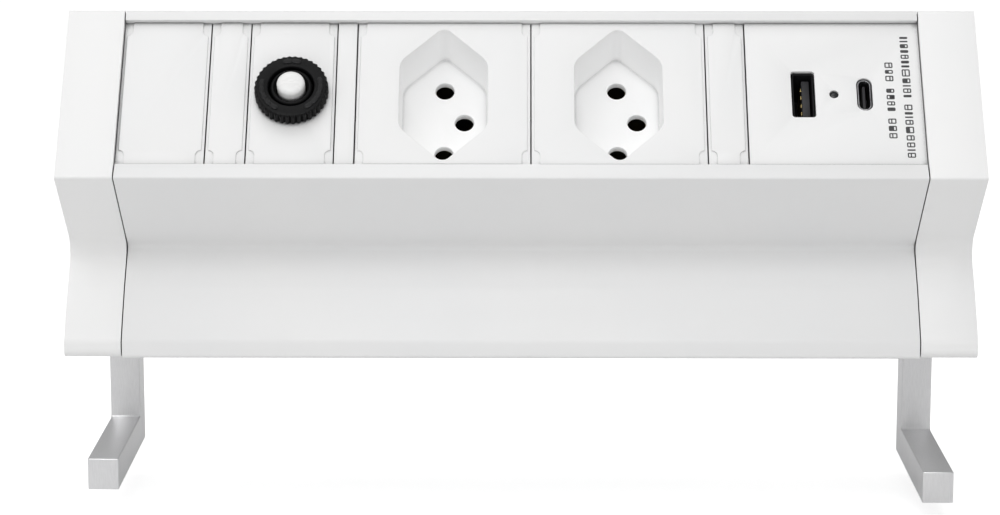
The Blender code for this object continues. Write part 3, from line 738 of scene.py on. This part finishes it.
def cap_screw(side, number, y, z):
    tag = side_name(side)
    head = Matrix.Translation(
        Vector((side * (CAP_END - 0.2) * MM, y * MM, z * MM))
    ) @ Matrix.Rotation(radians(90) * side, 4, "Y")
    screw = turned(f"{tag}_cap_screw_{number}", CAP_SCREW, 28, head)
    cut(screw, prism(f"t_{tag}_{number}_cross", cross_outline(), -1.0, 0.5, head))
    settle(screw, bevel=0.05, segments=1)
    finish_piece(screw, STEEL, f"{tag}_end_cap_screw_{number}", slot="zinc_steel")


def end_cap(side):
    tag = side_name(side)
    outline = rounded(CORNERS, CAP_RADII, steps=10)
    cap = prism(f"{tag}_cap_shell", outline, *outwards(side, CAP_START, CAP_END), SECTION)
    hollow = outwards(side, CAP_START - 2, CAP_END - CAP_FLOOR)
    cut(cap, prism(f"t_{tag}_hollow", cavity_outline(), *hollow, SECTION))
    column = outwards(side, CAP_START, CAP_END - 1.0)
    through = outwards(side, 90, 120)
    sink = outwards(side, CAP_END - SINK_DEPTH, CAP_END + 0.5)
    sink_low, sink_high = (1.5, SINK_R)[::side]  # the wide end faces outwards
    for level, (y, z) in BOSSES.items():
        name = f"t_{tag}_{level}_"
        join(cap, rod(name + "boss", y, z, column, CAP_BOSS_R, 24, SECTION))
        cut(cap, rod(name + "bore", y, z, through, BORE_R, 24, SECTION))
        cut(cap, rod(name + "sink", y, z, sink, sink_low, 32, SECTION, sink_high))
    x = side * BRACKET_X
    cut(
        cap,
        box(
            f"t_{tag}_guide",
            (x - BAR_X / 2 - GAP, x + BAR_X / 2 + GAP),
            (LEG_Y[0] - GAP, LEG_Y[1] + GAP),
            (-5, CHANNEL_TOP),
            WORLD,
        ),
        rod(f"t_{tag}_spindle", x, LEG_MID, (CHANNEL_TOP - 1, 50), 2.9, 28, WORLD),
        rod(f"t_{tag}_seat", x, LEG_MID, (SEAT_Z, 60), 4.65, 40, WORLD),
    )
    settle(cap, bevel=0.35, segments=3)
    finish_piece(cap, CAP, f"{tag}_end_cap", slot="white_plastic")
    for number, (y, z) in enumerate(BOSSES.values(), 1):
        cap_screw(side, number, y, z)


end_cap(-1)
end_cap(1)

# ------------------------------------------------------------ brackets and their screws
FOOT_HEIGHT = 8.25
THREAD_R, THREAD_DEPTH = 2.85, 33
HEX_SOCKET_R = 2.35
# (radius, z) of a clamp spindle from the head to the tip
SPINDLE = [
    (0, 35.3), (3.5, 35.3), (4.0, 35.15), (4.3, 34.7), (4.3, 31.4), (4.2, 31.3),
    (2.5, 31.3), (2.5, -3.2), (1.9, -4.0), (0, -4.0),
]


def bracket(side):
    """An L-shaped bar: an upright leg at the back and a foot that reaches forward."""
    tag = side_name(side)
    low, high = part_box(f"{tag}_bracket")
    tip = low.y / MM
    base, leg_top = low.z / MM + DESK, high.z / MM + DESK
    foot_top = base + FOOT_HEIGHT
    x = side * BRACKET_X
    points = [
        (tip, base),
        (LEG_Y[1], base),
        (LEG_Y[1], leg_top),
        (LEG_Y[0], leg_top),
        (LEG_Y[0], foot_top),
        (tip, foot_top),
    ]
    outline = rounded(points, [0.3, 0.8, 0.4, 0.4, 0.7, 0.3], steps=5)
    bar = prism(f"{tag}_l_bracket", outline, x - BAR_X / 2, x + BAR_X / 2, SECTION)
    thread = (leg_top - THREAD_DEPTH, leg_top + 5)
    cut(bar, rod(f"t_{tag}_thread", x, LEG_MID, thread, THREAD_R, 32, WORLD))
    settle(bar, bevel=0.4, segments=3)
    node = f"{tag}_bracket"
    finish_piece(bar, ALU, node, slot="satin_aluminium", body=node)


def clamp_screw(side):
    tag = side_name(side)
    spot = Matrix.Translation(Vector((side * BRACKET_X * MM, LEG_MID * MM, 0)))
    screw = turned(f"{tag}_clamp_spindle", SPINDLE, 44, spot)
    cut(screw, rod(f"t_{tag}_hex", 0, 0, (32.6, 37), HEX_SOCKET_R, 6, spot))
    settle(screw, bevel=0.12)
    node = f"{tag}_clamp_screw"
    finish_piece(screw, STEEL, node, slot="zinc_steel", body=node)


for side in (-1, 1):
    bracket(side)
    clamp_screw(side)

# ------------------------------------------------------------ module plates
# x span of each module along the panel
MODULES = {
    "blank_cover": (-BODY_HALF, -77.75),
    "narrow_cover_left": (-77.75, -67.75),
    "breaker_fascia": (-67.75, -46.0),
    "spacer_cover": (-46.0, -41.0),
    "outlet_1_face": (-41.0, 2.5),
    "outlet_2_face": (2.5, 46.0),
    "narrow_cover_right": (46.0, 56.0),
    "usb_fascia": (56.0, BODY_HALF),
}
END_OVERHANG = 0.14  # an end plate stands this far past the end of the housing
S0, S1 = LIP_LOW + 0.85, LIP_HIGH - 0.06
STEP_DOWN = 0.4  # drop from the raised face to the pockets in the plate's corners
BORDER = 0.7
POCKET_X, POCKET_S = 2.1, 4.0


def face_outline(x0, x1):
    """A rectangle with a round-cornered pocket taken out of each corner."""
    radius = POCKET_X - BORDER
    lower = [(x1 - POCKET_X, S0)]
    for k in range(9):
        angle = pi - pi / 2 * k / 8
        lower.append(
            (x1 - BORDER + radius * cos(angle), S0 + POCKET_S - radius + radius * sin(angle))
        )
    right = lower + [(x, S0 + S1 - s) for x, s in reversed(lower)]
    return right + [(x0 + x1 - x, s) for x, s in reversed(right)]


def plate(node, framed=True):
    """The plate of one module; a framed one has a raised face."""
    x0, x1 = MODULES[node]
    x0 += GAP / 2 if x0 > -BODY_HALF else -END_OVERHANG
    x1 -= GAP / 2 if x1 < BODY_HALF else -END_OVERHANG
    top = PLATE_TOP - STEP_DOWN if framed else PLATE_TOP
    made = prism(node + "_plate", rectangle(x0, x1, S0, S1), PLATE_LOW, top, PANEL)
    if framed:
        outline = face_outline(x0, x1)
        join(made, prism(f"t_{node}_face", outline, PLATE_LOW + 0.4, PLATE_TOP, PANEL))
    return made


def finish_plate(made, node):
    settle(made, bevel=0.12)
    finish_piece(made, MODULE, node, slot="white_plastic")


for node in ("blank_cover", "narrow_cover_left", "narrow_cover_right", "spacer_cover"):
    finish_plate(plate(node, framed=node != "spacer_cover"), node)

# ------------------------------------------------------------ outlets
# half width, half height, half length of the upright sides, and depth of the recess
HEX_HALF_X, HEX_HALF_S, HEX_SIDE, HEX_DEPTH = 11.0, 20.0, 9.6, 13.5
PIN_PITCH, EARTH_SHIFT, PIN_HOLE_R = 9.5, 5.0, 2.42


def hexagon(x, grow, shoulder=5.0, vertex=2.2):
    """The recess outline; shoulder rounds the side corners, vertex the end ones."""
    half_x, half_s = HEX_HALF_X + grow, HEX_HALF_S + grow
    points = [
        (x, MID_S - half_s),
        (x + half_x, MID_S - HEX_SIDE),
        (x + half_x, MID_S + HEX_SIDE),
        (x, MID_S + half_s),
        (x - half_x, MID_S + HEX_SIDE),
        (x - half_x, MID_S - HEX_SIDE),
    ]
    return rounded(points, [vertex, shoulder, shoulder] * 2, steps=10)


def outlet(number):
    node = f"outlet_{number}_face"
    x = sum(MODULES[node]) / 2
    face = plate(node)
    floor = PLATE_TOP - HEX_DEPTH
    join(face, prism(f"t_{node}_cup", hexagon(x, 0.8), floor - 2.0, PLATE_LOW + 0.5, PANEL))
    # the recess narrows towards its floor
    bottom, mouth = hexagon(x, -0.35, shoulder=4.7, vertex=2.0), hexagon(x, 0.02)
    cut(face, prism(f"t_{node}_recess", bottom, floor, PLATE_TOP + 0.6, PANEL, mouth))
    pins = ((x, MID_S + PIN_PITCH), (x, MID_S - PIN_PITCH), (x + EARTH_SHIFT, MID_S))
    for pin_x, pin_s in pins:
        name = f"t_{node}_{pin_x:.0f}_{pin_s:.0f}".replace("-", "m")
        cut(face, rod(name, pin_x, pin_s, (floor - 5, floor + 2), PIN_HOLE_R, 40, PANEL))
    settle(face, bevel=0.22, segments=3, angle=30)
    finish_piece(face, OUTLET, node, slot="white_plastic")


outlet(1)
outlet(2)

# ------------------------------------------------------------ breaker
BREAKER_X = -56.9
AT_BREAKER = PANEL @ Matrix.Translation(Vector((BREAKER_X * MM, MID_S * MM, 0)))
# (radius, z) of the neck, its bore and the button
NECK = [
    (0, 1.75), (4.7, 1.75), (5.0, 1.6), (5.2, 1.25), (5.2, 0.1), (5.45, -0.3), (5.45, -6),
    (0, -6),
]
NECK_BORE = [(0, 5), (4.4, 5), (4.4, 1.5), (3.85, 0.9), (3.85, -14.0), (0, -14.0)]
BUTTON_R, BUTTON_TOP = 3.5, 4.1
BUTTON_PROFILE = [
    (0, BUTTON_TOP + 0.02), (1.2, BUTTON_TOP), (2.2, BUTTON_TOP - 0.08),
    (2.8, BUTTON_TOP - 0.24), (3.2, BUTTON_TOP - 0.5), (3.42, BUTTON_TOP - 0.85),
    (BUTTON_R, BUTTON_TOP - 1.3), (BUTTON_R, -6.0), (2.7, -6.0), (2.7, 0.9), (0, 0.9),
]

RING_R, RING_LOBES, STEPS_PER_LOBE, FLUTE_DEPTH = 9.2, 38, 6, 0.62
# (z, loss of radius, share of the full flute depth) up the rim of the nut
RING_RIM = [
    (-1.4, 0.4, 0.3), (-1.25, 0.08, 0.9), (-1.1, 0.0, 1.0), (1.35, 0.0, 1.0),
    (1.68, 0.12, 0.8), (1.92, 0.36, 0.35), (2.0, 0.72, 0.0),
]
# (radius, z) from the top of the nut down its bore
RING_BORE = [(6.0, 2.0), (5.85, 1.94), (5.75, 1.8), (5.7, 1.0), (5.6, -0.9), (5.8, -1.4)]

# raised marks on the nut: (middle angle, number, step) of each group, in degrees
MARK_GROUPS = ((90, 2, 17), (-20, 5, 15.5), (205, 5, 15.5))
MARK_SWEEP = 4.4  # degrees to either side of a mark's centre
MARK_R_IN, MARK_R_OUT = 6.7, 7.9
MARK_LOW, MARK_HIGH = 1.95, 2.3


def breaker_fascia():
    face = plate("breaker_fascia")
    cut(face, rod("t_breaker_hole", 0, 0, (-10, 5), 5.8, 56, AT_BREAKER))
    finish_plate(face, "breaker_fascia")


def breaker_block():
    core = box("breaker_block", (-9, 9), (-13, 13), (-31, -4.4), AT_BREAKER)
    join(core, turned("t_neck", NECK, 64, AT_BREAKER))
    cut(core, turned("t_neck_bore", NECK_BORE, 56, AT_BREAKER))
    for tag, s in (("a", -8.0), ("b", 8.0)):
        span = (s - 0.8, s + 0.8)
        cut(core, box(f"t_breaker_slot_{tag}", (-3.5, 3.5), span, (-40, -22), AT_BREAKER))
    settle(core, bevel=0.08)
    finish_piece(core, BLACK, "breaker_body", slot="black_plastic")


def ring_nut():
    """Knurled nut: a rim with rounded flutes, a bevelled top and a plain bore."""
    count = RING_LOBES * STEPS_PER_LOBE
    waves = [abs(cos(RING_LOBES * (2 * pi * k / count) / 2)) for k in range(count)]
    bm = bmesh.new()
    rings = []
    for z, shrink, depth in RING_RIM:
        radii = [
            RING_R - shrink - FLUTE_DEPTH * depth * (1 - wave) ** 0.8 for wave in waves
        ]
        rings.append(ring(bm, radii, z))
    for radius, z in RING_BORE:
        rings.append(ring(bm, [radius] * count, z))
    for first, second in zip(rings, rings[1:] + rings[:1]):
        join_rings(bm, first, second)
    bmesh.ops.recalc_face_normals(bm, faces=bm.faces)
    nut = add("knurled_ring_nut", bm, AT_BREAKER)
    shade(nut, sharp=42)
    finish_piece(nut, BLACK, "breaker_ring_nut", slot="black_plastic")


def ring_mark(name, middle):
    """A raised bar that follows the ring, with rounded ends."""
    start, end = radians(middle - MARK_SWEEP), radians(middle + MARK_SWEEP)
    half = (MARK_R_OUT - MARK_R_IN) / 2
    mid = (MARK_R_IN + MARK_R_OUT) / 2
    count, cap_count = 14, 6
    points = []
    # the outer side and the far end, then the inner side and the near end
    for first, last, radius, turn in (
        (start, end, MARK_R_OUT, end),
        (end, start, MARK_R_IN, start + pi),
    ):
        for k in range(count + 1):
            angle = first + (last - first) * k / count
            points.append((radius * cos(angle), radius * sin(angle)))
        for k in range(1, cap_count):
            angle = turn + pi * k / cap_count
            points.append(
                (mid * cos(last) + half * cos(angle), mid * sin(last) + half * sin(angle))
            )
    bar = prism(name, points, MARK_LOW, MARK_HIGH, AT_BREAKER)
    settle(bar, bevel=0.07)
    finish_piece(bar, BLACK_MARK, slot="black_plastic")


def ring_marks():
    number = 0
    for middle, count, step in MARK_GROUPS:
        for k in range(count):
            number += 1
            ring_mark(f"ring_mark_{number:02d}", middle + (k - (count - 1) / 2) * step)


def reset_button():
    button = settle(turned("push_button", BUTTON_PROFILE, 56, AT_BREAKER))
    finish_piece(button, BUTTON, "reset_button", slot="white_plastic", body="reset_button")


breaker_fascia()
breaker_block()
ring_nut()
ring_marks()
reset_button()

# ------------------------------------------------------------ charger
USB_A_X, USB_C_X = 70.1, 85.3
LED_X = (USB_A_X + USB_C_X) / 2
LENS_PROFILE = [(0, -1.9), (0.5, -1.94), (0.9, -2.1), (1.0, -2.3), (1.0, -6.0), (0, -6.0)]


def port(x, half_x, half_s, radius, steps):
    """A rounded upright opening, centred on the panel's middle line."""
    return rounded(centred(x, MID_S, half_x, half_s), radius, steps)


def usb_fascia():
    face = plate("usb_fascia", framed=False)
    cut(
        face,
        prism("t_usb_a", port(USB_A_X, 2.95, 6.75, radius=0.8, steps=6), -10, 5, PANEL),
        prism("t_usb_c", port(USB_C_X, 1.95, 4.75, radius=1.9, steps=12), -10, 5, PANEL),
        rod("t_usb_led", LED_X, MID_S, (-10, 5), 1.15, 32, PANEL),
    )
    finish_plate(face, "usb_fascia")


def sleeve(kind, outside, inside, low, high, look):
    """A tube open at the panel, with a thin floor 0.05 thick."""
    name = f"usb_{kind}_sleeve"
    made = prism(name, outside, low, high, PANEL)
    cut(made, prism("t_" + name, inside, low + 0.05, high + 2, PANEL))
    settle(made, bevel=0.06)
    finish_piece(made, look, f"usb_{kind}_shell", slot="zinc_steel")


def tongue(kind, x_span, half_s, z_span, bevel):
    made = box(f"usb_{kind}_blade", x_span, (MID_S - half_s, MID_S + half_s), z_span, PANEL)
    settle(made, bevel=bevel)
    finish_piece(made, BLACK_TONGUE, f"usb_{kind}_tongue", slot="black_plastic")


def usb_a_contacts():
    for k in range(4):
        s = MID_S - 3.5 + 7.0 * k / 3
        span = (USB_A_X - 0.35, USB_A_X - 0.16)
        pad = box(f"usb_a_contact_{k + 1}", span, (s - 0.5, s + 0.5), (-13.5, -5.0), PANEL)
        settle(pad, bevel=0.05)
        finish_piece(pad, BRASS, slot="brass")


def indicator_lens():
    spot = PANEL @ Matrix.Translation(Vector((LED_X * MM, MID_S * MM, 0)))
    lens = settle(turned("indicator_dome", LENS_PROFILE, 28, spot))
    finish_piece(lens, LENS, "usb_indicator_lens", slot="lens")


usb_fascia()
sleeve(
    "a",
    port(USB_A_X, 2.65, 6.45, radius=0.6, steps=5),
    port(USB_A_X, 2.3, 6.1, radius=0.4, steps=5),
    low=-15.0, high=-2.3, look=BLACK_DEEP,
)
sleeve(
    "c",
    port(USB_C_X, 1.65, 4.45, radius=1.6, steps=10),
    port(USB_C_X, 1.35, 4.15, radius=1.3, steps=10),
    low=-11.0, high=-1.95, look=SHELL,
)
tongue("a", (USB_A_X - 0.15, USB_A_X + 1.75), half_s=5.4, z_span=(-14.9, -4.0), bevel=0.15)
usb_a_contacts()
tongue("c", (USB_C_X - 0.35, USB_C_X + 0.35), half_s=3.3, z_span=(-10.9, -3.2), bevel=0.1)
indicator_lens()

# ------------------------------------------------------------ printed marks
# rows of plain marks on the charger plate: x, first s, last s, then the width of each mark
# along s, where 0 is a space
PRINT_ROWS = (
    (91.7, 12.6, 34.9, (1.5, 1.5, 1.5, 0, 1.0, 1.2, 1.3, 1.2, 0, 1.6, 1.1, 1.6)),
    (95.9, 7.0, 42.6, (
        1.4, 0.4, 1.4, 1.5, 1.9, 1.4, 0.4, 0.7, 1.6, 0, 0.7,
        1.3, 0.4, 1.4, 2.1, 0.6, 0.8, 1.2, 0.8, 1.2, 0.4, 0.6,
    )),
)
PRINT_HALF, PRINT_STROKE, PRINT_SPACE = 1.0, 0.3, 1.0
PRINT_LOW, PRINT_HIGH = PLATE_TOP + 0.004, PLATE_TOP + 0.03


def printed_mark(number, place, x, s, width):
    """One mark; a wide one is hollowed on one or both sides of a middle stroke."""
    outline = rounded(
        rectangle(x - PRINT_HALF, x + PRINT_HALF, s, s + width), min(0.3, width / 3), steps=3
    )
    bar = prism(f"print_mark_{number:02d}", outline, PRINT_LOW, PRINT_HIGH, PANEL)
    if width > 1.0:
        split = x + (0.15 if place % 2 else -0.15)
        hollows = {
            "a": (x - PRINT_HALF + PRINT_STROKE, split - PRINT_STROKE / 2),
            "b": (split + PRINT_STROKE / 2, x + PRINT_HALF - PRINT_STROKE),
        }
        if place % 3 == 1:
            del hollows["a"]
        s_span = (s + PRINT_STROKE, s + width - PRINT_STROKE)
        z_span = (PLATE_TOP - 1, PLATE_TOP + 1)
        for tag, x_span in hollows.items():
            cut(bar, box(f"t_print_{number:02d}_{tag}", x_span, s_span, z_span, PANEL))
        settle(bar)
    else:
        shade(bar, sharp=30)
    finish_piece(bar, INK, slot="black_plastic")


def printed_rows():
    number = 0
    for x, start, end, widths in PRINT_ROWS:
        total = sum(width or PRINT_SPACE for width in widths)
        gap = (end - start - total) / (len(widths) - 1)
        s = start
        for place, width in enumerate(widths):
            if width:
                number += 1
                printed_mark(number, place, x, s, width)
            s += (width or PRINT_SPACE) + gap


printed_rows()


# ------------------------------------------------------------ desk pads
def desk_pad(tag):
    name = tag + "_desk_pad"
    outline = rounded(rectangle(-PAD_HALF_X, PAD_HALF_X, *PADS[tag]), 1.2, steps=6)
    pad = prism(name + "_foam", outline, DESK, DESK + 0.8, WORLD)
    settle(pad, bevel=0.15)
    finish_piece(pad, FOAM, name, slot="rubber")


desk_pad("front")
desk_pad("rear")

# ------------------------------------------------------------ inlet
FACING_BACK = Matrix.Translation(Vector((INLET_X * MM, 0, INLET_Z * MM))) @ Matrix.Rotation(
    radians(-90), 4, "X"
)
INLET_PINS = (-6, 0, 6)
INLET_PIN = [(0, 9.0), (0.7, 9.0), (1.1, 8.6), (1.25, 8.0), (1.25, -14.0), (0, -14.0)]


def inlet_shell():
    outline = rounded(centred(0, 0, INLET_HALF_X, INLET_HALF_Z), 1.0, steps=6)
    recess = rounded(centred(0, 0, 10, 7), 1.6, steps=6)
    shell = prism("inlet_shell", outline, -10, 12.9, FACING_BACK)
    cut(shell, prism("t_inlet_recess", recess, -3, 20, FACING_BACK))
    for number, x in enumerate(INLET_PINS, 1):
        cut(shell, rod(f"t_inlet_pin_{number}", x, 0, (-20, 0), 1.6, 24, FACING_BACK))
    settle(shell, bevel=0.2)
    finish_piece(shell, INLET_BLACK, "inlet_housing", slot="black_plastic")


def inlet_pins():
    for number, x in enumerate(INLET_PINS, 1):
        spot = FACING_BACK @ Matrix.Translation(Vector((x * MM, 0, 0)))
        pin = settle(turned(f"inlet_blade_{number}", INLET_PIN, 28, spot))
        finish_piece(pin, BRASS, f"inlet_pin_{number}", slot="brass")


inlet_shell()
inlet_pins()

# ------------------------------------------------------------ pieces kept from the CAD
CARRIED = {
    "left_screw_retainer": STEEL,
    "right_screw_retainer": STEEL,
    "breaker_spring": STEEL,
    "breaker_terminal_a": BRASS,
    "breaker_terminal_b": BRASS,
    "outlet_1_housing": BLACK_DEEP,
    "outlet_2_housing": BLACK_DEEP,
    "usb_housing": MODULE,
    "usb_circuit_board": BOARD,
    "usb_transformer": COPPER,
    "usb_capacitor": BLACK,
    "line_wire_supply": BROWN,
    "line_wire_switched": BROWN,
    "neutral_wire": BLUE,
    "earth_wire": GREEN,
}
for number in (1, 2):
    for wire in ("line", "neutral", "earth"):
        CARRIED[f"outlet_{number}_{wire}_contact"] = BRASS

for node, look in CARRIED.items():
    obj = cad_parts[node]
    obj.data.materials.clear()
    obj.data.materials.append(look)
    weld = obj.modifiers.new("weld", "WELD")
    weld.merge_threshold = 0.000002
    if "wire" not in node and node != "breaker_spring":
        edge = obj.modifiers.new("edge", "BEVEL")
        edge.width = 0.0002
        edge.segments = 2
        edge.limit_method = "ANGLE"
        edge.angle_limit = radians(50)

for tool in TOOLS:
    bpy.data.objects.remove(tool, do_unlink=True)

# ------------------------------------------------------------ floor
# clear of the feet when both brackets are at their lowest, 6.3 mm under the rest pose
FLOOR_Z = CAD_LOW.z - 0.0066
FLOOR_HALF = 6.0


def floor_material():
    mat = Material("studio_floor")
    cloud = mat.noise(scale=3, detail=2)
    colour = mat.mix(mat.remap(cloud), (0.93, 0.93, 0.93), (0.95, 0.95, 0.95))
    # it glows only as the camera sees it
    seen = mat.node("LightPath").outputs["Is Camera Ray"]
    mat.surface(
        Base_Color=colour,
        Roughness=0.8,
        Specular_IOR_Level=0.1,
        Emission_Strength=mat.remap(seen, to=(0.0, 0.6)),
        Emission_Color=(1, 1, 1, 1),
    )
    return mat.material


def studio_floor():
    bm = bmesh.new()
    bmesh.ops.create_grid(bm, x_segments=1, y_segments=1, size=FLOOR_HALF)
    level = Matrix.Translation(Vector((0, 0, FLOOR_Z)))
    floor = add("studio_floor", bm, LIFT.inverted() @ level)
    floor.data.materials.append(floor_material())


studio_floor()


# ------------------------------------------------------------ world
def studio_world():
    """A white backdrop for the camera; all else is lit by a sweep brighter at -Y and -X."""
    world = bpy.data.worlds.new("studio")
    scene.world = world
    world.use_nodes = True
    nodes, link = world.node_tree.nodes, world.node_tree.links.new
    background = nodes["Background"]
    background.inputs["Color"].default_value = (1.0, 1.0, 1.0, 1)
    direction = nodes.new("ShaderNodeTexCoord")
    split = nodes.new("ShaderNodeSeparateXYZ")
    link(direction.outputs["Generated"], split.inputs[0])

    def sweep(axis, low, high):
        """A smooth change of strength from the negative to the positive end of an axis."""
        made = nodes.new("ShaderNodeMapRange")
        made.interpolation_type = "SMOOTHSTEP"
        made.inputs["From Min"].default_value = -1.0
        made.inputs["From Max"].default_value = 1.0
        made.inputs["To Min"].default_value = low
        made.inputs["To Max"].default_value = high
        link(split.outputs[axis], made.inputs["Value"])
        return made.outputs["Result"]

    front_to_back = sweep("Y", low=0.465, high=0.35)
    left_to_right = sweep("X", low=1.14, high=0.86)
    product = nodes.new("ShaderNodeMath")
    product.operation = "MULTIPLY"
    link(front_to_back, product.inputs[0])
    link(left_to_right, product.inputs[1])
    sight = nodes.new("ShaderNodeLightPath")
    backdrop = nodes.new("ShaderNodeMix")
    backdrop.data_type = "FLOAT"
    factor, lighting, seen = backdrop.inputs[0], backdrop.inputs[2], backdrop.inputs[3]
    link(sight.outputs["Is Camera Ray"], factor)
    link(product.outputs[0], lighting)
    seen.default_value = 1.0
    link(backdrop.outputs[0], background.inputs["Strength"])


studio_world()


# ------------------------------------------------------------ lights
def area(name, location, target, size, power):
    """A square lamp aimed at a target."""
    data = bpy.data.lights.new(name, "AREA")
    data.shape = "RECTANGLE"
    data.size = size
    data.size_y = size
    data.energy = power
    lamp = bpy.data.objects.new(name, data)
    lamp.location = location
    lamp.rotation_mode = "QUATERNION"
    lamp.rotation_quaternion = (Vector(target) - Vector(location)).to_track_quat("-Z", "Y")
    scene.collection.objects.link(lamp)


area("key", location=(-0.5, -0.85, 1.15), target=(0, -0.05, 0.05), size=0.7, power=2.8)
area("overhead", location=(-0.15, 0.05, 1.2), target=(0, -0.05, 0.05), size=0.8, power=3.1)
area("front", location=(0.0, -0.98, 0.86), target=(0, -0.05, 0.04), size=0.55, power=3.8)
area("side", location=(0.9, -0.8, 0.5), target=(0, -0.04, 0.03), size=0.6, power=0.5)

# ------------------------------------------------------------ camera
PITCH, YAW = radians(10.627), radians(0.402)  # downwards, and to the left

cam_data = bpy.data.cameras.new("camera")
cam_data.sensor_width = 36.0
cam_data.lens = 108.0
cam_data.clip_start = 0.05
cam_data.clip_end = 20
camera = bpy.data.objects.new("camera", cam_data)
camera.location = (0.0, -0.8, 0.1634)
camera.rotation_euler = (radians(90) - PITCH, 0, YAW)
scene.collection.objects.link(camera)
scene.camera = camera
scene.view_settings.view_transform = "Standard"
scene.view_settings.look = "None"
